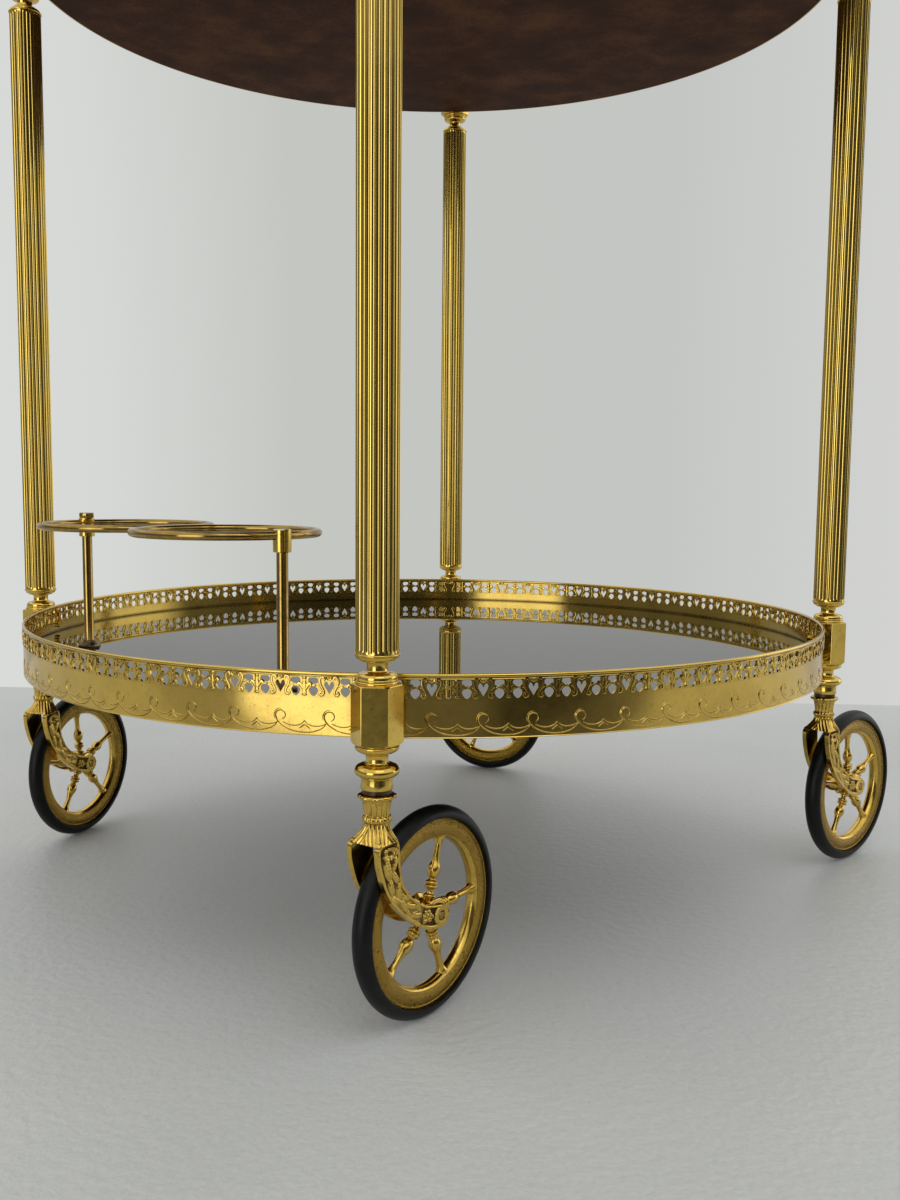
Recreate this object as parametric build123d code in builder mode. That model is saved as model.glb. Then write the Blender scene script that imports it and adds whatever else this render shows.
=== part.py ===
"""Round two-tier bar cart: fluted tube legs, pierced galleries, mirror shelves, bottle rings, casters.

Millimetres, +Z up. The origin is on the floor, under the axis of the round shelves.
The four legs stand on the X and Y axes, and the front leg is on -Y.
"""

import os
from math import cos, radians, sin, sqrt

from build123d import *

os.makedirs("parts", exist_ok=True)

# Driving dimensions: the legs
leg_circle_r = 258.0
tube_d = 19.0
tube_wall = 1.8
flute_count = 30
flute_r = 1.05
flute_depth = 0.4
column_len = 365.5
hex_flats = 20.3
hex_h = 26.4
neck_turning_h = 12.5
collar_h = 1.0
lower_turning_h = 5.2
spigot_h = 5.0
tie_rod_d = 6.0
tie_rod_grip = 3.0
finial_h = 32.0

# Driving dimensions: the shelves
gallery_h = 29.2
gallery_wall = 1.0
rim_bead_d = 2.0
glass_t = 4.0
board_t = 7.6
screw_d = 3.0
screw_head_d = 5.0
screw_head_h = 1.6
screw_grip = 7.0
screw_lift = 5.0

# Driving dimensions: the pierced pattern of each gallery
unit_count = 68
heart_w = 5.6
heart_h = 6.0
oval_w = 5.9
oval_h = 3.1
shield_w = 5.9
shield_h = 4.2
hole_row_gap = 0.9
holes_below_rim = 2.9

# Driving dimensions: foot and caster
foot_h = 14.6
stem_d = 8.0
stem_len = 10.5
swivel_gap = 2.3
washer_d = 13.0
crown_h = 17.9
crown_d = 16.2
yoke_t = 3.0
fork_drop = 43.3
trail = 36.0
arm_t = 2.8
arm_boss_d = 11.0
axle_d = 4.2
axle_cap_d = 7.6
axle_cap_h = 1.9

# Driving dimensions: the wheel
wheel_r = 50.0
tyre_depth = 5.7
tyre_w = 10.4
rim_depth = 10.0
rim_w = 8.0
rim_bevel = 2.3
hub_d = 15.2
hub_barrel_w = 11.0
spoke_d = 6.3
spoke_root = 1.5
spoke_count = 5

# Driving dimensions: the bottle holder
ring_mean_r = 47.2
ring_wire_d = 4.2
ring_lift = 75.0
holder_reach = 181.0
post_d = 5.8
post_stud_d = 4.0
post_stud_grip = 5.0
sleeve_d = 9.6
sleeve_h = 11.3
sleeve_above_ring = 3.2
sleeve_grip = 3.5
cap_nut_h = 3.0
base_w = 23.6
base_depth = 15.0
base_t = 1.6
base_cone_d = 10.0
base_cone_h = 3.6

# Clearances
glass_gap = 0.5
board_gap = 0.3
knuckle_gap = 0.1
washer_gap = 0.3
running_gap = 0.05
wheel_side_gap = 0.3
tyre_side_gap = 1.3
rod_gap = 0.25
stud_gap = 0.3
cut_overrun = 2.0

# Angles in degrees: where each leg stands, where its caster trails, how far its wheel has rolled
legs = {"front": -90, "right": 0, "back": 90, "left": 180}
trail_headings = {"front": 56.8, "right": 46.9, "back": -18.0, "left": 72.5}
wheel_rolls = {"front": -16.0, "right": 5.8, "back": 11.7, "left": 5.6}
holder_azimuth = 225.0
holder_skew = 4.0

# Radii, and the heights of the stack, worked out from the floor up
tube_r = tube_d / 2
tube_bore_r = tube_r - tube_wall
hex_corner_r = hex_flats / sqrt(3)
gallery_r = leg_circle_r - hex_flats / 2 - knuckle_gap
gallery_inner_r = gallery_r - gallery_wall
yoke_z = wheel_r + fork_drop
crown_z = yoke_z + yoke_t
crown_top = crown_z + crown_h
foot_z = crown_top + swivel_gap
knuckle_z = foot_z + foot_h
hex_z = knuckle_z + lower_turning_h
hex_top = hex_z + hex_h
column_z = hex_top + neck_turning_h + collar_h
column_top = column_z + column_len
upper_hex_z = column_top + collar_h + neck_turning_h
upper_hex_top = upper_hex_z + hex_h
tier_rise = upper_hex_z - hex_z
glass_z = hex_z + board_t
glass_top = glass_z + glass_t
rim_top = hex_z + gallery_h
tie_rod_z = knuckle_z - tie_rod_grip
tie_rod_top = upper_hex_top + finial_h / 2
ring_z = glass_top + ring_lift
arm_inner_y = tyre_w / 2 + tyre_side_gap
arm_outer_y = arm_inner_y + arm_t
rim_r = wheel_r - tyre_depth
rim_inner_r = rim_r - rim_depth

# The collar between neck and tube, as a share of the tube's radius
collar_share = 1.05

# Turned outlines. Each step is a (radius, height) share of the piece, or an arc's middle and end.
lower_turning_shares = (
    (0.53, 0.0), ((0.56, 0.14), (0.68, 0.26)), (0.82, 0.32),
    ((0.98, 0.50), (1.03, 0.72)), ((1.02, 0.88), (0.94, 1.0)),
)
neck_turning_shares = (
    (0.97, 0.0), ((1.0, 0.10), (0.95, 0.17)), ((0.92, 0.31), (0.72, 0.40)), (0.60, 0.42),
    ((0.475, 0.60), (0.50, 0.76)), (0.76, 0.80), ((0.98, 0.90), (1.02, 1.0)),
)
foot_shares = (
    (0.75, 0.0), (0.73, 0.33), (0.78, 0.35), (0.85, 0.39), ((1.06, 0.55), (0.96, 0.68)),
    ((0.82, 0.735), (0.62, 0.755)), ((0.54, 0.80), (0.52, 0.88)), (0.53, 1.0),
)
crown_shares = (
    (1.10, 0.0), ((0.98, 0.17), (0.68, 0.31)), ((0.83, 0.37), (0.70, 0.47)), ((0.68, 0.66), (0.80, 0.84)),
    ((0.95, 0.93), (1.0, 1.0)),
)
finial_shares = (
    (0.94, 0.0), ((0.97, 0.07), (0.70, 0.13)), (0.50, 0.16), ((0.46, 0.22), (0.56, 0.30)), (0.80, 0.34),
    ((0.98, 0.58), (0.42, 0.82)), ((0.34, 0.86), (0.36, 0.90)), ((0.26, 0.97), (0.05, 1.0)),
)
spoke_shares = (
    (0.86, 0.0), ((0.98, 0.05), (0.86, 0.10)), ((0.50, 0.16), (0.52, 0.22)), ((1.0, 0.27), (0.60, 0.32)),
    ((0.92, 0.46), (0.50, 0.76)), ((0.50, 0.86), (0.72, 0.93)), (0.74, 1.0),
)

# Pierced shapes, as shares of their width and height about their middle
heart_shares = ((0.0, -0.5), (0.5, 0.18), (0.30, 0.5), (0.0, 0.22), (-0.30, 0.5), (-0.5, 0.18))
oval_shares = ((-0.5, 0.0), (-0.28, 0.5), (0.28, 0.5), (0.5, 0.0), (0.28, -0.5), (-0.28, -0.5))
shield_shares = ((-0.5, 0.14), (-0.26, 0.5), (0.26, 0.5), (0.5, 0.14), (0.0, -0.5))

# The fork arm's heel and inner edges, as shares of the trail and of the drop from yoke to axle
arm_heel_shares = (
    (-0.26, 1.0), (-0.24, 0.78), (-0.145, 0.555), (0.005, 0.363), (0.24, 0.166), (0.50, 0.01), (0.75, -0.09),
)
arm_inner_shares = (
    (0.85, 0.15), (0.64, 0.205), (0.375, 0.356), (0.255, 0.48), (0.175, 0.635), (0.14, 0.88), (0.13, 1.0),
)


def turned(step_shares, radius, bottom, height):
    """A solid of revolution about Z, standing on bottom, from an outline of shares."""

    def at(share):
        return (share[0] * radius, bottom + share[1] * height)

    with BuildPart() as piece:
        with BuildSketch(Plane.XZ):
            with BuildLine():
                here = at(step_shares[0])
                Line((0, bottom), here)
                for step in step_shares[1:]:
                    if isinstance(step[0], tuple):
                        ThreePointArc(here, at(step[0]), at(step[1]))
                        here = at(step[1])
                    else:
                        Line(here, at(step))
                        here = at(step)
                Line(here, (0, bottom + height))
                Line((0, bottom + height), (0, bottom))
            make_face()
        revolve(axis=Axis.Z)
    return piece.part


def rod(radius, bottom, top):
    """A round bar about Z."""
    with BuildPart() as bar:
        with BuildSketch(Plane.XY.offset(bottom)):
            Circle(radius)
        extrude(amount=top - bottom)
    return bar.part


def save(part, name, x=0.0, y=0.0, heading=0.0):
    """Writes one node, turned to its heading about Z and then moved into place."""
    placed = part.moved(Location((x, y, 0), (0, 0, heading)))
    placed.label = name
    export_step(placed, f"parts/{name}.step")
    return placed


# Fluted leg column: a tube, with concave flutes cut round its outside
with BuildPart() as column:
    with BuildSketch(Plane.XY.offset(column_z)):
        Circle(tube_r)
        with PolarLocations(tube_r + flute_r - flute_depth, flute_count):
            Circle(flute_r, mode=Mode.SUBTRACT)
        Circle(tube_bore_r, mode=Mode.SUBTRACT)
    extrude(amount=column_len)


# Knuckles: a hexagon that a gallery is screwed to, with a turned neck, a collar and a spigot for the tube
def knuckle(hex_bottom, column_side):
    """The column stands above the hexagon when column_side is 1 and hangs below it when it is -1."""
    with BuildPart() as piece:
        with BuildSketch(Plane.XY.offset(hex_bottom)):
            RegularPolygon(hex_corner_r, 6, rotation=30)
        extrude(amount=hex_h)
        neck = turned(neck_turning_shares, tube_r, 0, neck_turning_h)
        add(neck.moved(neck_place(hex_bottom, column_side)))
        collar_bottom = column_z - collar_h if column_side > 0 else column_top
        add(rod(tube_r * collar_share, collar_bottom, collar_bottom + collar_h))
        spigot_bottom = column_z if column_side > 0 else column_top - spigot_h
        add(rod(tube_bore_r - running_gap, spigot_bottom, spigot_bottom + spigot_h))
        if column_side > 0:
            add(turned(lower_turning_shares, tube_r, knuckle_z, lower_turning_h))
        with BuildSketch(Plane.XY.offset(hex_bottom - neck_turning_h - collar_h - spigot_h)):
            Circle(tie_rod_d / 2 + rod_gap)
        extrude(amount=2 * (neck_turning_h + collar_h + spigot_h) + hex_h, mode=Mode.SUBTRACT)
        with BuildSketch(Plane.YZ.offset(-hex_flats / 2)):
            with Locations((0, hex_bottom + board_t + glass_t + screw_lift)):
                Circle(screw_d / 2)
        extrude(amount=screw_grip, mode=Mode.SUBTRACT)
    return piece.part


def neck_place(hex_bottom, column_side):
    """Stands the neck's shoulder on the hexagon, or hangs it turned over below the hexagon."""
    if column_side > 0:
        return Location((0, 0, hex_bottom + hex_h))
    return Location((0, 0, hex_bottom), (180, 0, 0))


lower_knuckle = knuckle(hex_z, 1)
upper_knuckle = knuckle(upper_hex_z, -1)

# Foot: a bobbin over a drum, bored from below for the caster's stem and from above for the tie rod
with BuildPart() as foot:
    add(turned(foot_shares, tube_r, foot_z, foot_h))
    with BuildSketch(Plane.XY.offset(foot_z)):
        Circle(stem_d / 2 + running_gap)
    extrude(amount=stem_len - swivel_gap + washer_gap, mode=Mode.SUBTRACT)
    with BuildSketch(Plane.XY.offset(tie_rod_z)):
        Circle(tie_rod_d / 2)
    extrude(amount=tie_rod_grip + cut_overrun, mode=Mode.SUBTRACT)

# Finial: a small turned vase that nuts down on the tie rod
with BuildPart() as finial:
    add(turned(finial_shares, tube_r, upper_hex_top, finial_h))
    with BuildSketch(Plane.XY.offset(upper_hex_top)):
        Circle(tie_rod_d / 2)
    extrude(amount=tie_rod_top - upper_hex_top, mode=Mode.SUBTRACT)

# Caster fork: stem, turned crown, yoke and two curved arms; it trails towards +X
with BuildPart() as fork:
    add(turned(crown_shares, crown_d / 2, crown_z, crown_h))
    add(rod(stem_d / 2, crown_top, crown_top + stem_len))
    arm_heel = [(x * trail, wheel_r + z * fork_drop) for x, z in arm_heel_shares]
    arm_inner = [(x * trail, wheel_r + z * fork_drop) for x, z in arm_inner_shares]
    yoke_back, yoke_front = arm_heel[0][0], arm_inner[-1][0]
    with BuildSketch(Plane.XY.offset(yoke_z)):
        with Locations(((yoke_back + yoke_front) / 2, 0)):
            Rectangle(yoke_front - yoke_back, 2 * arm_outer_y)
    extrude(amount=yoke_t)
    with BuildSketch(Plane.XZ.offset(arm_inner_y)):
        with BuildLine():
            boss_bottom = (trail, wheel_r - arm_boss_d / 2)
            boss_front = (trail + arm_boss_d / 2, wheel_r)
            boss_top = (trail, wheel_r + arm_boss_d / 2)
            Spline(*arm_heel, boss_bottom)
            ThreePointArc(boss_bottom, boss_front, boss_top)
            Spline(boss_top, *arm_inner)
            Line(arm_inner[-1], arm_heel[0])
        make_face()
        with Locations((trail, wheel_r)):
            Circle(axle_d / 2, mode=Mode.SUBTRACT)
    extrude(amount=arm_t)
    mirror(about=Plane.XZ)

# Axle: a pin through both arms and the hub, with a bevelled cap outside each arm, about Y
with BuildPart() as axle:
    with BuildSketch(Plane.XY):
        Rectangle(axle_d / 2, 2 * arm_outer_y, align=(Align.MIN, Align.CENTER))
        with Locations((0, arm_outer_y), (0, -arm_outer_y - axle_cap_h)):
            Rectangle(axle_cap_d / 2, axle_cap_h, align=(Align.MIN, Align.MIN))
    revolve(axis=Axis.Y)
    chamfer(axle.edges().group_by(Axis.Y)[0], axle_cap_h / 2)
    chamfer(axle.edges().group_by(Axis.Y)[-1], axle_cap_h / 2)

# Wheel: rim, hub and turned spokes cast as one piece, about Y
with BuildPart() as wheel:
    with BuildSketch(Plane.XY):
        with BuildLine():
            Polyline(
                (rim_r, -rim_w / 2), (rim_r, rim_w / 2), (rim_inner_r + rim_bevel, rim_w / 2),
                (rim_inner_r, rim_w / 2 - rim_bevel), (rim_inner_r, rim_bevel - rim_w / 2),
                (rim_inner_r + rim_bevel, -rim_w / 2), close=True,
            )
        make_face()
    revolve(axis=Axis.Y)
    with BuildSketch(Plane.XY):
        with BuildLine():
            hub_end = arm_inner_y - wheel_side_gap
            bore = axle_d / 2 + running_gap
            boss = (hub_d / 2 + axle_d / 2) / 2
            Polyline(
                (bore, -hub_end), (boss, -hub_end), (boss, -hub_barrel_w / 2),
                (hub_d / 2, -hub_barrel_w / 2), (hub_d / 2, hub_barrel_w / 2),
                (boss, hub_barrel_w / 2), (boss, hub_end), (bore, hub_end), close=True,
            )
        make_face()
    revolve(axis=Axis.Y)
    spoke_len = rim_inner_r - hub_d / 2 + 2 * spoke_root
    spoke = turned(spoke_shares, spoke_d / 2, hub_d / 2 - spoke_root, spoke_len)
    for turn in range(spoke_count):
        add(spoke.rotate(Axis.Y, turn * 360 / spoke_count))

# Tyre: a rubber ring seated on the rim
with BuildPart() as tyre:
    with BuildSketch(Plane.XY):
        with BuildLine():
            Line((rim_r, -tyre_w / 2), (rim_r, tyre_w / 2))
            ThreePointArc((rim_r, tyre_w / 2), (wheel_r, 0), (rim_r, -tyre_w / 2))
        make_face()
    revolve(axis=Axis.Y)

# One leg after another: column, knuckles, foot, finial, tie rod, and its caster
tie_rod = rod(tie_rod_d / 2, tie_rod_z, tie_rod_top)
for leg, azimuth in legs.items():
    x, y = leg_circle_r * cos(radians(azimuth)), leg_circle_r * sin(radians(azimuth))
    save(column.part, f"column_{leg}", x, y, azimuth)
    save(lower_knuckle, f"lower_knuckle_{leg}", x, y, azimuth)
    save(upper_knuckle, f"upper_knuckle_{leg}", x, y, azimuth)
    save(foot.part, f"foot_{leg}", x, y, azimuth)
    save(finial.part, f"finial_{leg}", x, y, azimuth)
    save(tie_rod, f"tie_rod_{leg}", x, y, azimuth)
    save(fork.part, f"fork_{leg}", x, y, trail_headings[leg])
    at_axle = Location((trail, 0, wheel_r))
    rolled = Location((trail, 0, wheel_r), (0, -wheel_rolls[leg], 0))
    save(axle.part.moved(at_axle), f"axle_{leg}", x, y, trail_headings[leg])
    save(wheel.part.moved(rolled), f"wheel_{leg}", x, y, trail_headings[leg])
    save(tyre.part.moved(at_axle), f"tyre_{leg}", x, y, trail_headings[leg])

# Swivel washers: one between each foot and its caster's crown, round the stem
with BuildPart() as washers:
    with BuildSketch(Plane.XY.offset(crown_top + washer_gap)):
        with PolarLocations(leg_circle_r, len(legs)):
            Circle(washer_d / 2)
            Circle(stem_d / 2 + running_gap, mode=Mode.SUBTRACT)
    extrude(amount=swivel_gap - washer_gap)
save(washers.part, "swivel_washers")


def hole_heights():
    """How high above the gallery's foot each kind of hole has its middle."""
    oval_y = gallery_h - holes_below_rim - oval_h / 2
    shield_y = oval_y - oval_h / 2 - hole_row_gap - shield_h / 2
    return (oval_y + shield_y) / 2, oval_y, shield_y


def tangent_plane(turn):
    """The upright plane that touches the gallery's outside at one turn about Z, from the band's foot up."""
    outward = (cos(radians(turn)), sin(radians(turn)), 0)
    touch = (gallery_r * outward[0], gallery_r * outward[1], hex_z)
    return Plane(origin=touch, x_dir=(-outward[1], outward[0], 0), z_dir=outward)


def hole(shape_shares, width, height, middle):
    """One pierced hole's outline, drawn about its middle."""
    with Locations((0, middle)):
        Polygon(*[(x * width, y * height) for x, y in shape_shares], align=None)


# The holes of one unit of the pattern: a heart, and then two pairs of an oval over a shield
heart_y, oval_y, shield_y = hole_heights()
unit_angle = 360 / unit_count
with BuildPart() as unit_holes:
    with BuildSketch(tangent_plane(0)):
        hole(heart_shares, heart_w, heart_h, heart_y)
    extrude(amount=cut_overrun, both=True)
    with BuildSketch(tangent_plane(unit_angle / 3), tangent_plane(unit_angle * 2 / 3)):
        hole(oval_shares, oval_w, oval_h, oval_y)
        hole(shield_shares, shield_w, shield_h, shield_y)
    extrude(amount=cut_overrun, both=True)


def band_outline(radius, mode=Mode.ADD):
    """The band seen from above, bent between the columns of holes, so each column keeps a small flat."""
    RegularPolygon(radius, 3 * unit_count, rotation=unit_angle / 6, mode=mode)


def band_layer(bottom, height, bottom_swell, top_swell):
    """One ruled layer of the band, which swells by as much on both sides of its wall."""
    with BuildPart() as layer:
        with BuildSketch(Plane.XY.offset(bottom)):
            band_outline(gallery_r + bottom_swell)
        with BuildSketch(Plane.XY.offset(bottom + height)):
            band_outline(gallery_r + top_swell)
        loft(ruled=True)
        with BuildSketch(Plane.XY.offset(bottom)):
            band_outline(gallery_inner_r - bottom_swell)
        with BuildSketch(Plane.XY.offset(bottom + height)):
            band_outline(gallery_inner_r - top_swell)
        loft(ruled=True, mode=Mode.SUBTRACT)
    return layer.part


# Gallery: a thin band with an eight-sided bead along its rim, drilled for its screws and pierced all round
bead_side = rim_bead_d * (sqrt(2) - 1)
bead_bevel = (rim_bead_d - bead_side) / 2
bead_swell = (rim_bead_d - gallery_wall) / 2
bead_z = rim_top - rim_bead_d + bead_bevel - bead_swell
with BuildPart() as gallery:
    with BuildSketch(Plane.XY.offset(hex_z)):
        band_outline(gallery_r)
        band_outline(gallery_inner_r, mode=Mode.SUBTRACT)
    extrude(amount=bead_z - hex_z)
    add(band_layer(bead_z, bead_swell, 0, bead_swell))
    add(band_layer(bead_z + bead_swell, bead_side, bead_swell, bead_swell))
    add(band_layer(rim_top - bead_bevel, bead_bevel, bead_swell, bead_swell - bead_bevel))
    with BuildSketch(Plane.YZ, Plane.XZ):
        with Locations((0, glass_top + screw_lift)):
            Circle(screw_d / 2 + running_gap)
    extrude(amount=leg_circle_r, both=True, mode=Mode.SUBTRACT)
    with PolarLocations(0, unit_count):
        add(unit_holes.part, mode=Mode.SUBTRACT, clean=False)

# Mirror glass and the board under it
with BuildPart() as glass:
    with BuildSketch(Plane.XY.offset(glass_z)):
        Circle(gallery_inner_r - glass_gap)
    extrude(amount=glass_t)
with BuildPart() as board:
    with BuildSketch(Plane.XY.offset(hex_z)):
        Circle(gallery_inner_r - board_gap)
    extrude(amount=board_t)

# Screws that hold a gallery to its four knuckles: round heads inside the band
with BuildPart() as screws:
    with BuildSketch(Plane.YZ.offset(gallery_inner_r - running_gap)):
        with Locations((0, glass_top + screw_lift)):
            Circle(screw_d / 2)
    extrude(amount=screw_grip)
    with BuildSketch(Plane.YZ.offset(gallery_inner_r - running_gap)):
        with Locations((0, glass_top + screw_lift)):
            Circle(screw_head_d / 2)
    extrude(amount=-screw_head_h)
screw_set = Compound(
    children=[screws.part.moved(Location((0, 0, 0), (0, 0, azimuth))) for azimuth in legs.values()]
)

# Bottle holder: two rings on two posts, with its middle out along one diagonal of the legs
holder_x = holder_reach * cos(radians(holder_azimuth))
holder_y = holder_reach * sin(radians(holder_azimuth))
holder_heading = holder_azimuth + 90 + holder_skew
ring_offset = ring_mean_r + ring_wire_d / 2
post_offset = ring_offset + ring_mean_r


def along_holder(distance):
    """A place on the line through the holder's posts, measured from the holder's middle."""
    heading = radians(holder_heading)
    return (holder_x + distance * cos(heading), holder_y + distance * sin(heading))


post_places = {"left": along_holder(-post_offset), "right": along_holder(post_offset)}
ring_places = {"left": along_holder(-ring_offset), "right": along_holder(ring_offset)}
with BuildPart() as ring:
    with BuildSketch(Plane.XZ):
        with Locations((ring_mean_r, ring_z)):
            Circle(ring_wire_d / 2)
    revolve(axis=Axis.Z)

sleeve_top = ring_z + sleeve_above_ring
sleeve_z = sleeve_top - sleeve_h
with BuildPart() as sleeve:
    add(rod(sleeve_d / 2, sleeve_z, sleeve_top))
    with BuildSketch(Plane.XY.offset(sleeve_z)):
        Circle(post_d / 2)
    extrude(amount=sleeve_grip, mode=Mode.SUBTRACT)
    add(ring.part.moved(Location((ring_mean_r, 0, 0))), mode=Mode.SUBTRACT)

with BuildPart() as post:
    add(rod(post_d / 2, glass_top, sleeve_z + sleeve_grip))
    add(rod(post_stud_d / 2, glass_z - post_stud_grip, glass_top))

with BuildPart() as base:
    with BuildSketch(Plane.XY.offset(glass_top)):
        Polygon((-base_w / 2, 0), (0, base_depth / 2), (base_w / 2, 0), (0, -base_depth / 2), align=None)
    extrude(amount=base_t)
    with BuildSketch(Plane.XY.offset(glass_top + base_t)):
        Circle(base_cone_d / 2)
    with BuildSketch(Plane.XY.offset(glass_top + base_cone_h)):
        Circle((base_cone_d + post_d) / 4)
    loft()
    with BuildSketch(Plane.XY.offset(glass_top)):
        Circle(post_d / 2)
    extrude(amount=base_cone_h, mode=Mode.SUBTRACT)

for side, outward in (("left", 0), ("right", 180)):
    save(ring.part, f"bottle_ring_{side}", *ring_places[side])
    save(sleeve.part, f"ring_sleeve_{side}", *post_places[side], holder_heading + outward)
    save(post.part, f"holder_post_{side}", *post_places[side], holder_heading)
    save(base.part, f"post_base_{side}", *post_places[side], holder_heading)

# Cap nut on the left post's sleeve
with BuildPart() as cap_nut:
    with BuildSketch(Plane.XY.offset(sleeve_top)):
        RegularPolygon(sleeve_d / 2, 6)
    extrude(amount=cap_nut_h)
    fillet(cap_nut.faces().sort_by(Axis.Z)[-1].edges(), cap_nut_h / 4)
save(cap_nut.part, "holder_cap_nut", *post_places["left"], holder_heading)

# The lower shelf carries the holder, so its glass and board are drilled for the two studs
with BuildPart() as lower_glass:
    add(glass.part)
    with BuildSketch(Plane.XY.offset(glass_z)):
        with Locations(*post_places.values()):
            Circle(post_stud_d / 2 + stud_gap)
    extrude(amount=glass_t, mode=Mode.SUBTRACT)
with BuildPart() as lower_board:
    add(board.part)
    with BuildSketch(Plane.XY.offset(glass_z)):
        with Locations(*post_places.values()):
            Circle(post_stud_d / 2)
    extrude(amount=-post_stud_grip, mode=Mode.SUBTRACT)

save(lower_glass.part, "lower_mirror")
save(lower_board.part, "lower_board")
lift = Location((0, 0, tier_rise))
save(glass.part.moved(lift), "upper_mirror")
save(board.part.moved(lift), "upper_board")
save(gallery.part, "lower_gallery")
save(gallery.part.moved(lift), "upper_gallery")
save(screw_set, "lower_gallery_screws")
save(screw_set.moved(lift), "upper_gallery_screws")

print("axle height", wheel_r, "trail", trail, "leg circle", leg_circle_r)
print("glass tops", glass_top, glass_top + tier_rise, "rim tops", rim_top, rim_top + tier_rise)
print("column", column_z, column_top, "overall height", upper_hex_top + finial_h, "ring", ring_z)
print("ring centres", ring_places, "posts", post_places)
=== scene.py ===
# %% [markdown]
# Round bar cart: four fluted brass legs, two pierced galleries with mirror shelves, bottle rings and
# casters. The solid model is loaded first and never moved. Every new piece is built where its solid is,
# stands for it, and rides on the same body, so that the wheels roll and the casters swivel as they do on
# the real cart.

from math import atan2, cos, exp, hypot, pi, radians, sin, sqrt, tau

import bpy
from mathutils import Matrix, Vector


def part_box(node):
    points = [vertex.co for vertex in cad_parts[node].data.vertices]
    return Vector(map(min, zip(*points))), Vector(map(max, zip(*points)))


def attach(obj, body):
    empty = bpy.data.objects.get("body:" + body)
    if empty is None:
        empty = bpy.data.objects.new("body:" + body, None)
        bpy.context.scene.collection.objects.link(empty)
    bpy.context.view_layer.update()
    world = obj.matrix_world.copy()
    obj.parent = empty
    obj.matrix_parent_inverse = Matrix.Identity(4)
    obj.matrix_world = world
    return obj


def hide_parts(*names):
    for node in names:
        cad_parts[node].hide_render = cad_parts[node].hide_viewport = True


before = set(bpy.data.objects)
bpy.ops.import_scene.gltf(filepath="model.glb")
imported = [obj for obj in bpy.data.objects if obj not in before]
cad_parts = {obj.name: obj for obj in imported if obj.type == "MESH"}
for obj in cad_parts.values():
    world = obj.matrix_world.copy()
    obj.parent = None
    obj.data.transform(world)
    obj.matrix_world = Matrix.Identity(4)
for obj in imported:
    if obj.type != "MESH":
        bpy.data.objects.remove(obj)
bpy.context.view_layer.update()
MM = 0.001

# %% [markdown]
# The camera stands low in front of the cart, a little to the right of the front leg, and looks slightly
# down. Its place and turn were solved from the legs and the round shelves, so it is set from its three
# directions and not by aiming it, which would lose the half degree that the photograph leans.

# %% Camera
YAW, PITCH, ROLL = radians(93.5), radians(5.895), radians(0.536)
CAMERA_AT, LENS = (0.0613, -0.7499, 0.2504), 34.725
ahead = Vector((cos(YAW) * cos(PITCH), sin(YAW) * cos(PITCH), -sin(PITCH)))
level = Vector((sin(YAW), -cos(YAW), 0))
above = level.cross(ahead)
right = cos(ROLL) * level + sin(ROLL) * above
up = cos(ROLL) * above - sin(ROLL) * level
camera = bpy.data.objects.new("camera", bpy.data.cameras.new("camera"))
camera.matrix_world = Matrix.Translation(CAMERA_AT) @ Matrix((right, up, -ahead)).transposed().to_4x4()
camera.data.lens = LENS
camera.data.clip_start = 0.01
bpy.context.collection.objects.link(camera)
bpy.context.scene.camera = camera
bpy.context.scene.view_settings.view_transform = "Standard"
print("camera looks along", [round(v, 3) for v in ahead])

# %% [markdown]
# Materials are node graphs. One small function adds a node: its own settings and input values come as one
# dictionary, and what is joined to it as another. The short functions after it call it for the nodes that
# come back often. Colours are written as hex, as on a paint card, and turned to linear values.


# %% Nodes and colours
def add_node(tree, kind, settings={}, links={}):
    node = tree.nodes.new(kind)
    for name, value in settings.items():
        if isinstance(name, int) or name in node.inputs:
            node.inputs[name].default_value = value
        else:
            setattr(node, name, value)
    for name, socket in links.items():
        tree.links.new(socket, node.inputs[name])
    return node


def linear(hex_colour):
    parts = [int(hex_colour[k : k + 2], 16) / 255 for k in (1, 3, 5)]
    return tuple(p / 12.92 if p <= 0.04045 else ((p + 0.055) / 1.055) ** 2.4 for p in parts) + (1.0,)


def ramp(tree, socket, stops):
    """Turns a grey into what its stops say, each as (place, grey level or hex colour)."""
    node = add_node(tree, "ShaderNodeValToRGB", {}, {0: socket})
    elements = node.color_ramp.elements
    while len(elements) > 1:
        elements.remove(elements[-1])
    for number, (place, value) in enumerate(stops):
        element = elements[0] if number == 0 else elements.new(place)
        element.position = place
        element.color = linear(value) if isinstance(value, str) else (value, value, value, 1.0)
    return node.outputs[0]


def span(tree, socket, start, end, low=0.0, high=1.0):
    """Maps start to end on to low to high."""
    return add_node(tree, "ShaderNodeMapRange", {1: start, 2: end, 3: low, 4: high}, {0: socket}).outputs[0]


def calculate(tree, operation, *terms, clamp=False):
    """What an operation gives for sockets and numbers."""
    numbers = {k: term for k, term in enumerate(terms) if isinstance(term, (int, float))}
    sockets = {k: term for k, term in enumerate(terms) if k not in numbers}
    settings = {"operation": operation, "use_clamp": clamp, **numbers}
    return add_node(tree, "ShaderNodeMath", settings, sockets).outputs[0]


def blend(tree, share, a, b):
    """A colour between a and b, which are both sockets or both hex."""
    ends = {6: linear(a), 7: linear(b)} if isinstance(a, str) else {}
    links = {0: share} if ends else {0: share, 6: a, 7: b}
    return add_node(tree, "ShaderNodeMix", {"data_type": "RGBA", **ends}, links).outputs[2]


def noise(tree, place, size_mm, detail, roughness=0.5):
    """Grey noise whose patches are about so many millimetres across."""
    settings = {"Scale": 1 / (size_mm * MM), "Detail": detail, "Roughness": roughness}
    return add_node(tree, "ShaderNodeTexNoise", settings, {0: place}).outputs[0]


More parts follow.
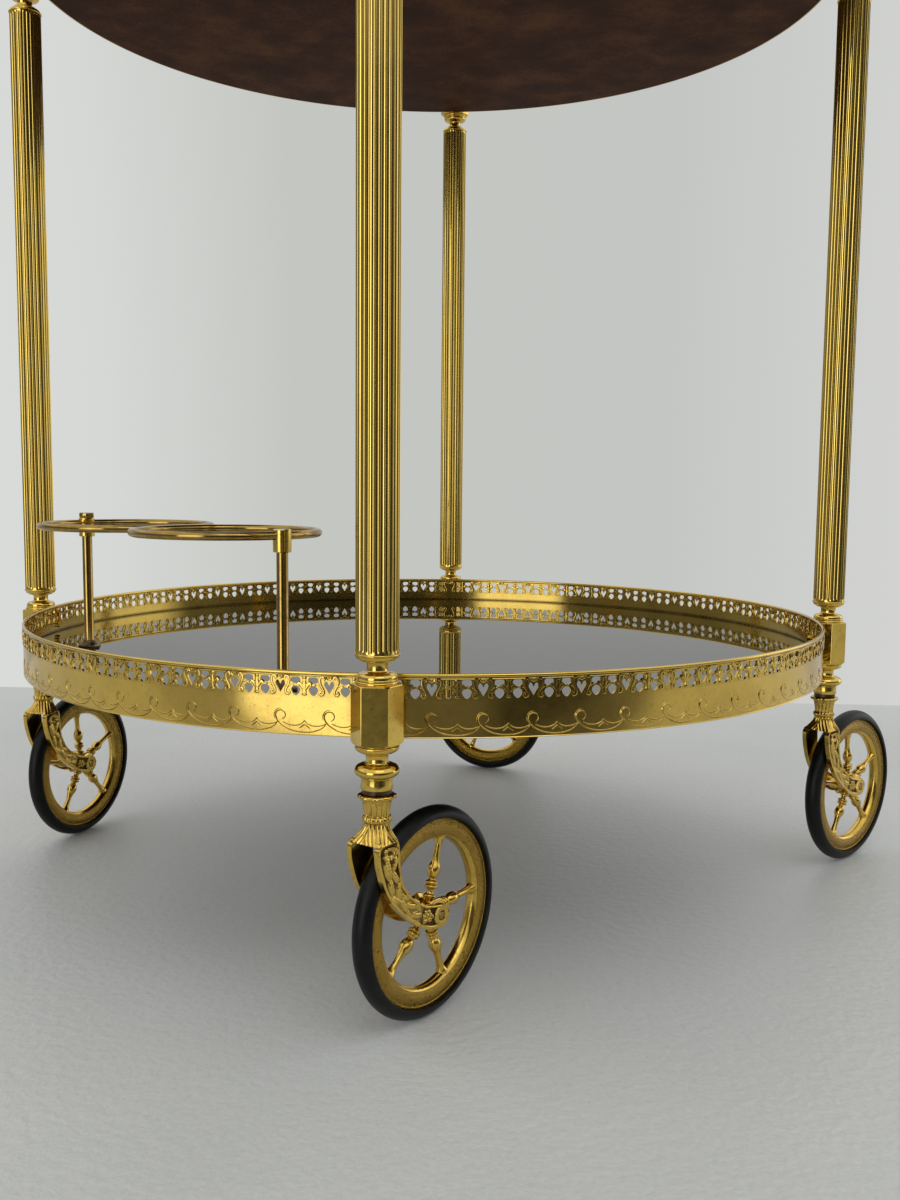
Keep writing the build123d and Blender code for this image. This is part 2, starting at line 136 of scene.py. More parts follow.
def bump(tree, height, strength, depth_mm):
    """Dents the light by a height, so many millimetres deep."""
    settings = {"Strength": strength, "Distance": depth_mm * MM}
    return add_node(tree, "ShaderNodeBump", settings, {"Height": height}).outputs[0]


def start_material(name):
    """A new material, its node tree and the object's coordinates."""
    material = bpy.data.materials.new(name)
    material.use_nodes = True
    tree = material.node_tree
    return material, tree, add_node(tree, "ShaderNodeTexCoord").outputs["Object"]


def finish_material(material, values, links):
    """Sets constants on the shader's own sockets and joins the rest to it."""
    shader = material.node_tree.nodes["Principled BSDF"]
    for name, value in values.items():
        shader.inputs[name].default_value = value
    for name, socket in links.items():
        material.node_tree.links.new(socket, shader.inputs[name])
    return material


print("brass in linear light", [round(c, 3) for c in linear("#E0BC5C")])

# %% [markdown]
# Brass shows what stands around it, so the studio is drawn in the world. What shines on the floor is soft
# and even. What the metal reflects is a dark room with one tall bright opening behind the camera to its
# left and one on the right, a pale ceiling and, below the horizon, the lit and the shaded floor in front of
# the cart. The camera itself sees a plain pale wall.

# %% Studio
world = bpy.data.worlds.new("studio")
bpy.context.scene.world = world
world.use_nodes = True
sky = world.node_tree
sky.nodes.clear()
direction = add_node(sky, "ShaderNodeTexCoord").outputs["Generated"]
parts = add_node(sky, "ShaderNodeSeparateXYZ", {}, {0: direction}).outputs
behind = calculate(sky, "MULTIPLY", parts[1], -1.0)
round_share = span(sky, calculate(sky, "ARCTAN2", parts[0], behind), -pi, pi)
around = ramp(
    sky, round_share,
    [
        (0.0, 0.55), (0.13, 0.52), (0.20, 0.25), (0.34, 0.20), (0.375, 0.20), (0.385, 2.6), (0.458, 2.6),
        (0.468, 0.08), (0.56, 0.05), (0.63, 0.05), (0.70, 0.14), (0.76, 0.25), (0.79, 1.5), (0.86, 1.5),
        (0.89, 0.50), (1.0, 0.55),
    ],
)
below = ramp(
    sky, round_share,
    [
        (0.0, 0.55), (0.10, 0.46), (0.15, 0.28), (0.34, 0.27), (0.372, 0.30), (0.385, 1.8), (0.458, 1.8),
        (0.47, 0.12), (0.51, 0.14), (0.55, 0.12), (0.57, 0.04), (0.63, 0.04), (0.66, 0.10), (0.74, 0.15),
        (0.775, 0.50), (1.0, 0.5),
    ],
)
height = span(sky, parts[2], -0.08, 0.02)
ceiling = ramp(sky, parts[2], [(0.0, 0.0), (0.32, 0.0), (0.45, 1.0), (1.0, 1.0)])
soft = ramp(sky, parts[2], [(0.0, 1.15), (0.35, 1.15), (0.6, 0.76), (1.0, 0.76)])
pale = add_node(sky, "ShaderNodeRGB")
pale.outputs[0].default_value = (0.90, 0.90, 0.89, 1.0)
room = blend(sky, ceiling, blend(sky, height, below, around), pale.outputs[0])
wall = ramp(
    sky, span(sky, parts[0], -0.6, 0.6),
    [(0.14, "#DADCD9"), (0.22, "#D5D7D4"), (0.34, "#C4C6C2"), (0.6, "#C4C6C3"), (0.76, "#D3D4D2")],
)
rays = add_node(sky, "ShaderNodeLightPath").outputs
seen = blend(sky, rays["Is Camera Ray"], blend(sky, rays["Is Glossy Ray"], soft, room), wall)
glow = add_node(sky, "ShaderNodeBackground", {1: 1.0}, {0: seen})
add_node(sky, "ShaderNodeOutputWorld", {}, {0: glow.outputs[0]})

WINDOW_AT, WINDOW_WIDTH, WINDOW_DEPTH, WINDOW_WATTS = (0.5, -1.2, 1.8), 1.2, 1.0, 3.0
SHINES_AT = Vector((0.0, 0.0, 0.2))
lamp_data = bpy.data.lights.new("window", "AREA")
lamp_data.shape, lamp_data.energy = "RECTANGLE", WINDOW_WATTS
lamp_data.size, lamp_data.size_y = WINDOW_WIDTH, WINDOW_DEPTH
lamp = bpy.data.objects.new("window", lamp_data)
lamp.location = WINDOW_AT
lamp.rotation_euler = (SHINES_AT - lamp.location).to_track_quat("-Z", "Y").to_euler()
bpy.context.collection.objects.link(lamp)

# %% Floor
FLOOR_X, FLOOR_Y, FLOOR_MIDDLE_Y = 4.0, 1.36, -0.1
bpy.ops.object.select_all(action="DESELECT")
bpy.ops.mesh.primitive_plane_add(size=1.0, location=(0.0, FLOOR_MIDDLE_Y, 0.0))
floor = bpy.context.object
floor.name = "floor"
floor.data.transform(Matrix.Diagonal((FLOOR_X, FLOOR_Y, 1.0, 1.0)))
paint, tree, place = start_material("painted_floor")
specks = add_node(tree, "ShaderNodeTexNoise", {"Scale": 420.0, "Detail": 3.0}, {0: place}).outputs[0]
cloud = add_node(tree, "ShaderNodeTexNoise", {"Scale": 3.0, "Detail": 4.0}, {0: place}).outputs[0]
tone = add_node(tree, "ShaderNodeMix", {"data_type": "FLOAT", 0: 0.35}, {2: cloud, 3: specks}).outputs[0]
shade = ramp(tree, tone, [(0.3, "#BFC2BF"), (0.7, "#D3D5D2")])
spot = add_node(tree, "ShaderNodeSeparateXYZ", {}, {0: place}).outputs
# Painted shade seen only in reflections: to glossy rays the floor in front of the cart is dark, darkest right
# of the middle.
glossy = add_node(tree, "ShaderNodeLightPath").outputs["Is Glossy Ray"]
mirrored = calculate(tree, "MULTIPLY", glossy, span(tree, spot[1], -0.38, -0.5))
reflected_shade_stops = [(0.0, 0.36), (0.5, 0.36), (0.56, 0.05), (0.80, 0.06), (0.90, 0.35)]
reflected_shade = ramp(tree, span(tree, spot[0], -1.3, 1.3), reflected_shade_stops)
links = {"Normal": bump(tree, noise(tree, place, 6, 3.0), 0.8, 1.0)}
links["Base Color"] = blend(tree, mirrored, shade, reflected_shade)
floor.data.materials.append(finish_material(paint, {"Roughness": 0.45}, links))
print("floor corner", [round(v, 2) for v in floor.data.vertices[0].co])

# %% [markdown]
# The metal is yellow brass, cast, turned or rolled and then polished. It has aged: a brown film gathers in
# hollows and in soft patches, and fine dark specks sit where lacquer has gone. The dark in the hollows is
# also painted shade. So each brass mixes a clean and a tarnished colour by three masks. The hollows come
# from the shape itself: each vertex stores how far its neighbours stand above it, which follows every
# groove without unwrapping anything.


# %% Selecting, copying, and where tarnish and painted shade gather
def deselect():
    bpy.ops.object.select_all(action="DESELECT")


def only(piece):
    deselect()
    piece.select_set(True)
    bpy.context.view_layer.objects.active = piece
    return piece


def lift(piece, height):
    """Moves a piece's mesh up by a height in millimetres."""
    piece.data.transform(Matrix.Translation((0, 0, height * MM)))


def twin(piece, place=Matrix.Identity(4)):
    """A copy of a piece with a mesh of its own, moved by a matrix."""
    copy = piece.copy()
    copy.data = piece.data.copy()
    copy.data.transform(place)
    bpy.context.collection.objects.link(copy)
    return copy


def cover(piece, *materials):
    """Gives a piece these materials in place of any that it has."""
    piece.data.materials.clear()
    for material in materials:
        piece.data.materials.append(material)
    return piece


def edit(piece):
    only(piece)
    bpy.ops.object.mode_set(mode="EDIT")
    bpy.ops.mesh.select_mode(type="VERT")
    bpy.ops.mesh.select_all(action="SELECT")


def pick_faces(piece, wanted):
    """Opens the piece for editing with only the faces that pass the test selected."""
    edit(piece)
    bpy.ops.mesh.select_all(action="DESELECT")
    bpy.ops.mesh.select_mode(type="FACE")
    bpy.ops.object.mode_set(mode="OBJECT")
    for face in piece.data.polygons:
        face.select = wanted(face)
    bpy.ops.object.mode_set(mode="EDIT")


def leave_edit(crease=35):
    """Merges doubles, turns the faces outwards and shades smooth up to the crease angle."""
    bpy.ops.mesh.select_all(action="SELECT")
    bpy.ops.mesh.remove_doubles(threshold=0.002 * MM)
    bpy.ops.mesh.normals_make_consistent(inside=False)
    bpy.ops.object.mode_set(mode="OBJECT")
    bpy.ops.object.shade_smooth_by_angle(angle=radians(crease))
    return bpy.context.object


def bevelled(width, crease):
    """Bevels all edges of the new piece."""
    edit(bpy.context.object)
    bpy.ops.mesh.bevel(offset=width * MM, segments=2, affect="EDGES")
    return leave_edit(crease)


def prism(sides, radius, height, bevel, crease):
    """A bevelled upright prism round the origin, in millimetres."""
    deselect()
    bpy.ops.mesh.primitive_cylinder_add(vertices=sides, radius=radius * MM, depth=height * MM)
    return bevelled(bevel, crease)


# Tarnish and painted shade: the brasses darken where this attribute is high.
def mark_hollows(piece, gain=3.2, blurs=2):
    """Stores 0 on plain metal to 1 in a hollow, as the attribute that the brasses read."""
    mesh = piece.data
    near = [[] for _ in mesh.vertices]
    for edge in mesh.edges:
        a, b = edge.vertices
        near[a].append(b)
        near[b].append(a)
    depth = []
    for vertex in mesh.vertices:
        rises = [(mesh.vertices[n].co - vertex.co).normalized() for n in near[vertex.index]]
        depth.append(sum(vertex.normal.dot(rise) for rise in rises) / max(1, len(rises)))
    for _ in range(blurs):
        depth = [(d + sum(depth[n] for n in ns)) / (1 + len(ns)) for d, ns in zip(depth, near)]
    values = mesh.attributes.get("hollow") or mesh.attributes.new("hollow", "FLOAT", "POINT")
    for value, d in zip(values.data, depth):
        value.value = min(1.0, max(0.0, gain * d, value.value))
    return piece


# %% Brass
def brass(
    name, clean, tarnish, roughness, patch_mm, patches, hollows, specks, dents_mm=0.5, dents=0.12, relief=0.15
):
    """Clean metal and tarnish, mixed by soft patches, fine specks and the stored hollows; the dark in the
    hollows is tarnish and painted shade.
    """
    material, tree, place = start_material(name)
    patch = span(tree, noise(tree, place, patch_mm, 6.0, 0.62), 0.46, 0.74, 0.0, patches)
    speck = span(tree, noise(tree, place, 1.5, 3.0), 0.6, 0.7, 0.0, specks)
    hollow = add_node(tree, "ShaderNodeAttribute", {"attribute_name": "hollow"}).outputs["Fac"]
    hollow = calculate(tree, "MULTIPLY", hollow, hollows)
    tarnish_and_shade = calculate(tree, "ADD", calculate(tree, "ADD", patch, speck), hollow, clamp=True)
    wear = span(tree, noise(tree, place, 4, 5.0), 0.3, 0.7, roughness * 0.75, roughness * 1.25)
    links = {
        "Base Color": blend(tree, tarnish_and_shade, clean, tarnish),
        "Roughness": calculate(tree, "MULTIPLY_ADD", tarnish_and_shade, 0.12, wear),
        "Normal": bump(tree, noise(tree, place, dents_mm, 3.0), dents, relief),
    }
    return finish_material(material, {"Metallic": 1.0}, links)


turned_brass = brass("turned_polished_brass", "#DCBB5C", "#3B2D0C", 0.11, 9, 0.2, 0.95, 0.3, 0.5, 0.03)
tube_brass = brass("drawn_fluted_brass", "#E2C264", "#443309", 0.09, 14, 0.1, 0.85, 0.0, 0.5, 0.0)
sheet_brass = brass("rolled_sheet_brass", "#DBBA60", "#35280C", 0.11, 22, 0.2, 1.0, 0.2, 0.5, 0.02)
relief_brass = brass("sand_cast_brass", "#D8B558", "#3E2B0C", 0.17, 6, 0.25, 1.0, 0.4, 0.8, 0.12)
stippled_brass = brass("punched_cast_brass", "#AC8A38", "#2E210A", 0.22, 8, 0.2, 0.6, 0.6, 0.6, 1.0, 0.5)
bronzed_brass = brass("browned_wire_brass", "#A88A4A", "#2E200D", 0.10, 9, 0.4, 0.9, 0.3, 0.5, 0.03)
print("brasses", [m.name for m in bpy.data.materials if "brass" in m.name])

# %% [markdown]
# The turned parts, knuckles, feet, finials and spokes, were cut on a lathe. Here each is an outline that is
# spun about its axis, the same way. An outline is a list of steps, as shares of the part's radius and
# height: a pair is a straight cut to that point, and two pairs are an arc through its middle to its end.


# %% The lathe
def arc(start, middle, end, count):
    """Points on the circle through three points, from start to end, without the start."""
    (ax, ay), (bx, by), (cx, cy) = start, middle, end
    d = 2 * (ax * (by - cy) + bx * (cy - ay) + cx * (ay - by))
    if abs(d) < 1e-9:
        return [end]
    ux = ((ax**2 + ay**2) * (by - cy) + (bx**2 + by**2) * (cy - ay) + (cx**2 + cy**2) * (ay - by)) / d
    uy = ((ax**2 + ay**2) * (cx - bx) + (bx**2 + by**2) * (ax - cx) + (cx**2 + cy**2) * (bx - ax)) / d
    radius = hypot(ax - ux, ay - uy)
    first, via, last = (atan2(y - uy, x - ux) for x, y in (start, middle, end))
    sweep, half = (last - first) % tau, (via - first) % tau
    if half > sweep:
        sweep -= tau
    return [
        (ux + radius * cos(first + sweep * k / count), uy + radius * sin(first + sweep * k / count))
        for k in range(1, count + 1)
    ]


def cut_line(shares, radius, height, count=6):
    """The outline in millimetres that a table of shares says."""
    points = [(shares[0][0] * radius, shares[0][1] * height)]
    for step in shares[1:]:
        if isinstance(step[0], tuple):
            middle, end = [(r * radius, z * height) for r, z in step]
            points += arc(points[-1], middle, end, count)
        else:
            points.append((step[0] * radius, step[1] * height))
    return points


def drawn_lines(name, lines, cyclic=False, **settings):
    """Lines through points in millimetres, drawn as a curve with these settings and turned into a mesh."""
    deselect()
    bpy.ops.curve.primitive_bezier_curve_add()
    drawn = bpy.context.object
    drawn.name = name
    drawn.data.splines.clear()
    for setting, value in settings.items():
        setattr(drawn.data, setting, value)
    for line in lines:
        spline = drawn.data.splines.new("POLY")
        spline.use_cyclic_u = cyclic
        spline.points.add(len(line) - 1)
        for point, (x, y, z) in zip(spline.points, line):
            point.co = (x * MM, y * MM, z * MM, 1)
    bpy.ops.object.convert(target="MESH")
    return bpy.context.object


def turn_on_lathe(name, points, steps=64, crease=32, axis="Z"):
    """Spins an outline of (radius, height) in millimetres about the upright axis."""
    edit(drawn_lines(name, [[(r, 0, z) for r, z in points]]))
    bpy.ops.mesh.spin(steps=steps, angle=tau, center=(0, 0, 0), axis=(0, 0, 1))
    piece = leave_edit(crease)
    if axis == "Y":
        piece.data.transform(Matrix.Rotation(-pi / 2, 4, "X"))
    return piece


def merge(name, *pieces):
    """Joins pieces into one object."""
    only(pieces[0])
    for piece in pieces[1:]:
        piece.select_set(True)
    bpy.ops.object.join()
    bpy.context.object.name = name
    return bpy.context.object


# %% Where the legs and casters stand
LEG_R, TRAIL, WHEEL_R = 258.0, 36.0, 50.0
LEGS = {"front": -90, "right": 0, "back": 90, "left": 180}
TRAIL_HEADINGS = {"front": 56.8, "right": 46.9, "back": -18.0, "left": 72.5}
WHEEL_ROLLS = {"front": -16.0, "right": 5.8, "back": 11.7, "left": 5.6}


def set_in_place(master, name, body, node, place):
    """Copies a master into place, with its name and body, and hides the node that it replaces."""
    piece = twin(master, place)
    piece.name = name
    piece.data.update()
    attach(piece, body)
    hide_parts(node)


def put_on_frame(master, name, node, place):
    """Sets a master that is used once in its place on the frame."""
    set_in_place(master, name, "frame", node, place)
    bpy.data.objects.remove(master)


def at_each_leg(master, name, body, node, turn_with=LEGS, inner={}):
    """One copy at each leg. The body and the node may carry {} where the leg's name goes."""
    for leg, azimuth in LEGS.items():
        across, along = LEG_R * MM * cos(radians(azimuth)), LEG_R * MM * sin(radians(azimuth))
        place = Matrix.Translation((across, along, 0)) @ Matrix.Rotation(radians(turn_with[leg]), 4, "Z")
        place = place @ inner.get(leg, Matrix.Identity(4))
        set_in_place(master, f"{name}_{leg}", body.format(leg), node.format(leg), place)
    bpy.data.objects.remove(master)
    print(name, "at", list(LEGS))


# %% [markdown]
# A leg is a drawn brass tube with 30 flutes between two collars. The tube starts as a cylinder whose sides
# are slid, in sets of seven, to the edges and floors of the flutes. Three rings near each end hold the tube
# round, so the flutes run out before they reach the collars, as they do where a cutter leaves the work.

# %% Fluted columns
TUBE_R, FLUTES, FLUTE_R, FLUTE_DEPTH = 9.5, 30, 1.05, 0.40
COLUMN_Z, COLUMN_TOP = 176.2, 541.7
RINGS_FROM_END = (0.5, 1.1, 1.9, 122, 244)
RUN_OUT_START, RUN_OUT = 0.4, 1.4
flute_across_shares = (-1.0, -0.72, -0.38, 0.0, 0.38, 0.72, 1.0)
low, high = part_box("column_front")
print("column from", round(low.z / MM, 1), "to", round(high.z / MM, 1))
half_flute = sqrt(FLUTE_R**2 - (FLUTE_R - FLUTE_DEPTH) ** 2)
stations = [half_flute * share for share in flute_across_shares] + [pi * TUBE_R / FLUTES]
SIDES = FLUTES * len(stations)
deselect()
bpy.ops.mesh.primitive_cylinder_add(
    vertices=SIDES, radius=TUBE_R * MM, depth=(COLUMN_TOP - COLUMN_Z) * MM,
    location=(0, 0, (COLUMN_Z + COLUMN_TOP) / 2 * MM),
)
edit(bpy.context.object)
for cut in RINGS_FROM_END:
    for z in (COLUMN_Z + cut, COLUMN_TOP - cut):
        bpy.ops.mesh.select_all(action="SELECT")
        bpy.ops.mesh.bisect(plane_co=(0, 0, z * MM), plane_no=(0, 0, 1))
bpy.ops.object.mode_set(mode="OBJECT")
column = bpy.context.object
column.data.transform(Matrix.Translation(column.location))
column.location = (0, 0, 0)
for vertex in column.data.vertices:
    number = round((atan2(vertex.co.x, vertex.co.y) % tau) / tau * SIDES) % SIDES
    offset = stations[number % len(stations)]
    angle = (number // len(stations)) * tau / FLUTES + offset / TUBE_R
    depth = 0
    if abs(offset) < half_flute:
        depth = max(0, FLUTE_DEPTH - FLUTE_R + sqrt(max(0, FLUTE_R**2 - offset**2)))
    from_end = min(vertex.co.z / MM - COLUMN_Z, COLUMN_TOP - vertex.co.z / MM)
    share = min(1.0, max(0.0, from_end - RUN_OUT_START) / RUN_OUT)
    reach = (TUBE_R - depth * share) * MM
    vertex.co.x, vertex.co.y = reach * sin(angle), reach * cos(angle)
edit(column)
column = cover(leave_edit(24), tube_brass)
mark_hollows(column, 5.0, 0)
at_each_leg(column, "fluted_column", "frame", "column_{}")

# %% [markdown]
# Each knuckle is a hexagon bar with a turned neck. The gallery is screwed to its inner flat. The hexagon is
# a six-sided cylinder with bevelled edges, and the turnings are spun on to it. The upper knuckle is the
# same piece with its neck below.

# %% Knuckles
HEX_FLATS, HEX_H, HEX_Z, UPPER_HEX_Z = 20.3, 26.4, 136.3, 555.2
KNUCKLE_Z, UPPER_HEX_TOP = 131.1, 581.6
NECK_H, LOWER_H = 12.5, 5.2
TIERS = {"lower": HEX_Z, "upper": UPPER_HEX_Z}
neck_shares = (
    (0.0, 0.0), (0.97, 0.0), ((1.0, 0.055), (0.97, 0.11)), (0.93, 0.125), ((0.95, 0.15), (0.93, 0.19)),
    ((0.91, 0.31), (0.72, 0.40)), (0.60, 0.42), ((0.52, 0.45), (0.49, 0.50)), ((0.475, 0.62), (0.50, 0.74)),
    (0.55, 0.755), ((0.575, 0.775), (0.55, 0.795)), (0.74, 0.80), ((0.79, 0.815), (0.77, 0.84)),
    ((0.96, 0.90), (1.0, 0.985)), (1.02, 1.0), ((1.06, 1.035), (1.03, 1.075)), (0.0, 1.075),
)
lower_shares = (
    (0.0, 0.0), (0.53, 0.0), ((0.56, 0.14), (0.66, 0.24)), (0.80, 0.30), (0.81, 0.36),
    ((0.97, 0.50), (1.03, 0.72)), ((1.02, 0.86), (0.95, 0.93)), (0.95, 1.0), (0.0, 1.0),
)


def hexagon(bottom):
    """A hexagon bar whose ends are chamfered by a turned form that it shares its inside with."""
    block = prism(6, HEX_FLATS / sqrt(3), HEX_H, 0.3, 12)
    lift(block, bottom + HEX_H / 2)
    corner, flat, top = HEX_FLATS / sqrt(3) + 0.1, HEX_FLATS / 2 + 0.05, bottom + HEX_H
    chamfer = [(0, bottom), (flat + 0.2, bottom), (corner, bottom + 1.2)]
    chamfer += [(corner, top - 0.8), (flat + 0.6, top), (0, top)]
    turned = turn_on_lathe("chamfer", chamfer, 96, 12)
    cut = block.modifiers.new("turned_ends", "BOOLEAN")
    cut.operation, cut.object = "INTERSECT", turned
    only(block)
    bpy.ops.object.modifier_apply(modifier="turned_ends")
    bpy.data.objects.remove(turned)
    edit(block)
    return leave_edit(12)


def knuckle(name, bottom, column_side):
    neck = turn_on_lathe("neck", cut_line(neck_shares, TUBE_R, NECK_H))
    pieces = [neck, hexagon(bottom)]
    if column_side > 0:
        lift(neck, bottom + HEX_H)
        pieces.append(turn_on_lathe("base", cut_line(lower_shares, TUBE_R, LOWER_H)))
        lift(pieces[-1], KNUCKLE_Z)
    else:
        neck.data.transform(Matrix.Translation((0, 0, bottom * MM)) @ Matrix.Rotation(pi, 4, "X"))
    return mark_hollows(cover(merge(name, *pieces), turned_brass))


for tier, column_side in (("lower", 1), ("upper", -1)):
    piece = knuckle(tier, TIERS[tier], column_side)
    at_each_leg(piece, f"{tier}_knuckle_turned", "frame", tier + "_knuckle_{}")

# %% Feet and finials
FOOT_Z, FOOT_H, FINIAL_H = 116.5, 14.6, 32.0
foot_shares = (
    (0.0, 0.0), (0.74, 0.0), (0.76, 0.03), ((0.75, 0.10), (0.74, 0.17)), (0.73, 0.32), (0.78, 0.34),
    ((0.82, 0.365), (0.80, 0.39)), (0.85, 0.40), ((1.06, 0.55), (0.98, 0.67)), (0.94, 0.70),
    ((0.82, 0.735), (0.62, 0.755)), ((0.535, 0.80), (0.52, 0.86)), ((0.51, 0.93), (0.53, 1.0)), (0.0, 1.0),
)
finial_shares = (
    (0.0, 0.0), (0.94, 0.0), ((1.0, 0.05), (0.86, 0.10)), (0.80, 0.11), ((0.70, 0.13), (0.52, 0.155)),
    (0.50, 0.17), ((0.46, 0.22), (0.54, 0.29)), (0.74, 0.305), ((0.79, 0.325), (0.76, 0.345)),
    ((0.98, 0.58), (0.44, 0.81)), (0.36, 0.825), ((0.42, 0.85), (0.36, 0.88)), ((0.30, 0.97), (0.03, 1.0)),
    (0.0, 1.0),
)
for stem, shares, height, z in (
    ("foot", foot_shares, FOOT_H, FOOT_Z), ("finial", finial_shares, FINIAL_H, UPPER_HEX_TOP),
):
    piece = turn_on_lathe(stem, cut_line(shares, TUBE_R, height))
    lift(piece, z)
    mark_hollows(cover(piece, turned_brass))
    at_each_leg(piece, f"{stem}_turned", "frame", stem + "_{}")

# %% [markdown]
# A gallery is a strip of sheet brass, pierced and stamped in one repeat of a heart and two pairs of holes,
# and then rolled into a ring. It is made here the same way: one unit is drawn flat as a filled curve with
# holes, its stamped ornaments are laid on it, it is repeated 68 times and the strip is bent through a full
# turn. A unit keeps few faces, because it is repeated so often.

# %% One flat unit of the gallery
UNITS, GALLERY_R, GALLERY_H, WALL = 68, 247.75, 29.2, 1.0
UNIT_W = tau * (GALLERY_R - WALL / 2) / UNITS
HEART_Y, OVAL_Y, SHIELD_Y, PAIR_X = 21.9, 24.85, 20.15, 0.32 * UNIT_W


def rounded(points, times=1):
    """Cuts the corners of a closed outline, as a file would."""
    for _ in range(times):
        nexts = points[1:] + points[:1]
        cuts = [(a, b, s) for a, b in zip(points, nexts) for s in (0.75, 0.25)]
        points = [(a[0] * s + b[0] * (1 - s), a[1] * s + b[1] * (1 - s)) for a, b, s in cuts]
    return points


def placed(shares, width, height, x, y):
    return [(x + a * width, y + b * height) for a, b in shares]


heart = [(0, -0.5), (0.26, -0.14), (0.46, 0.10), (0.5, 0.30), (0.36, 0.5), (0.17, 0.45), (0.0, 0.16)]
heart += [(-x, y) for x, y in reversed(heart[1:6])]
oval = rounded([(-0.5, -0.42), (0.5, -0.5), (0.5, 0.42), (0.2, 0.5), (-0.5, 0.5)])
shield = [(-0.5, 0.12), (-0.40, 0.36), (-0.18, 0.5), (0.18, 0.5), (0.40, 0.36), (0.5, 0.12)]
shield += [(0.38, -0.20), (0.18, -0.42), (0.0, -0.52), (-0.20, -0.42), (-0.40, -0.18)]
SHEET_TOP = GALLERY_H - 1.3
outlines = [[(-UNIT_W / 2, 0), (UNIT_W / 2, 0), (UNIT_W / 2, SHEET_TOP), (-UNIT_W / 2, SHEET_TOP)]]
outlines.append(placed(heart, 4.7, 5.9, 0, HEART_Y))
for side in (-1, 1):
    outlines.append(placed([(side * x, y) for x, y in oval], 4.5, 3.1, side * PAIR_X, OVAL_Y))
    outlines.append(placed([(side * x, y) for x, y in shield], 4.5, 4.4, side * PAIR_X, SHIELD_Y))
flat_lines = [[(x, y, 0) for x, y in line] for line in outlines]
plate = drawn_lines("plate", flat_lines, True, dimensions="2D", fill_mode="BOTH", extrude=WALL / 2 * MM)
plate.data.transform(Matrix.Rotation(pi / 2, 4, "X"))
edit(plate)
PLATE_COLUMNS, PLATE_CUTS = 6, (11.9, 13.6, 17.2, 17.7)
for k in range(1, PLATE_COLUMNS):
    bpy.ops.mesh.select_all(action="SELECT")
    bpy.ops.mesh.bisect(plane_co=(UNIT_W * (k / PLATE_COLUMNS - 0.5) * MM, 0, 0), plane_no=(1, 0, 0))
for z in PLATE_CUTS:
    bpy.ops.mesh.select_all(action="SELECT")
    bpy.ops.mesh.bisect(plane_co=(0, 0, z * MM), plane_no=(0, 0, 1))
plate = leave_edit(30)
pick_faces(plate, lambda f: abs(f.normal.x) > 0.9 and abs(abs(f.center.x) - UNIT_W / 2 * MM) < 0.01 * MM)
bpy.ops.mesh.delete(type="FACE")
bpy.ops.object.mode_set(mode="OBJECT")
PIERCED_FROM, PIERCED_TO, PLAIN_TO = 17.5, GALLERY_H - 1.4, 12.5
# The pierced band is made a little darker, and the inside below the plain strip's top much darker where it
# meets the glass.
darkening = plate.data.attributes.new("hollow", "FLOAT", "POINT")
for vertex in plate.data.vertices:
    if PIERCED_FROM * MM < vertex.co.z < PIERCED_TO * MM:
        darkening.data[vertex.index].value = 0.12
    elif vertex.co.y > 0 and vertex.co.z < PLAIN_TO * MM:
        darkening.data[vertex.index].value = 0.75
print("plate", len(plate.data.polygons), "faces", [round(d / MM, 1) for d in plate.dimensions])

# %% [markdown]
# The stamped ornaments stand about a third of a millimetre proud: two scrolls beside each heart, a lily
# between the pairs of holes whose arms reach out between them, and beads. Each is a ridge laid along a
# line. The engraver's line below runs in long scallops that curl up into a loop under each heart, with
# shorter ones inside that meet in a cusp over a small chevron. Dirt and painted shade sit along both edges
# of every ridge, and the ornaments show on the inside of the sheet too.


# %% Ridges and beads
def between(p, q, r, s, t):
    """The value at share t of the way from q to r, on a smooth curve through all four."""
    return 0.5 * (2 * q + (r - p) * t + (2 * p - 5 * q + 4 * r - s) * t**2 + (3 * q - p - 3 * r + s) * t**3)


def smooth(points, count=3):
    """A smooth line through the points."""
    full = [points[0]] + list(points) + [points[-1]]
    line = []
    for four in zip(full, full[1:], full[2:], full[3:]):
        for k in range(count):
            line.append(tuple(between(*values, k / count) for values in zip(*four)))
    return line + [tuple(points[-1])]


# A form row is (across, how proud, how dark); the dark, dirt and painted shade, lies at a ridge's feet and
# along a groove's floor.
RIDGE = ((-1.0, -0.1, 0.9), (-0.72, 0.75, 0.0), (0.0, 1.0, 0.0), (0.72, 0.75, 0.0), (1.0, -0.1, 0.9))
GROOVE = ((-1.0, -0.05, 0.0), (-0.5, 1.0, 0.15), (0.0, 0.5, 0.9), (0.5, 1.0, 0.15), (1.0, -0.05, 0.0))


def ridge(name, line, width, proud=0.36, ends=(1.0, 1.0), form=RIDGE):
    """A stamped ridge along a line. Its form says how far across, how proud and how dark each edge is, with
    dirt and painted shade.
    """
    rows = len(line) - 1
    deselect()
    bpy.ops.mesh.primitive_grid_add(x_subdivisions=4, y_subdivisions=rows, size=1.0)
    strip = bpy.context.object
    strip.name = name
    darkening = strip.data.attributes.new("hollow", "FLOAT", "POINT")
    for vertex in strip.data.vertices:
        across, height, dark = form[round((vertex.co.x + 0.5) * 4)]
        row = round((vertex.co.y + 0.5) * rows)
        t, (x, y) = row / rows, line[row]
        (ax, ay), (bx, by) = line[max(0, row - 1)], line[min(rows, row + 1)]
        length = hypot(bx - ax, by - ay)
        share = ends[0] * (1 - t) * (1 - 2 * t) + 4 * t * (1 - t) + ends[1] * t * (2 * t - 1)
        reach = across * share * width / 2
        x, y = x - (by - ay) / length * reach, y + (bx - ax) / length * reach
        vertex.co = (x * MM, -(WALL / 2 + height * proud) * MM, y * MM)
        darkening.data[vertex.index].value = dark
    strip.data.update()
    if sum(face.normal.y * face.area for face in strip.data.polygons) > 0:
        strip.data.flip_normals()
    return strip


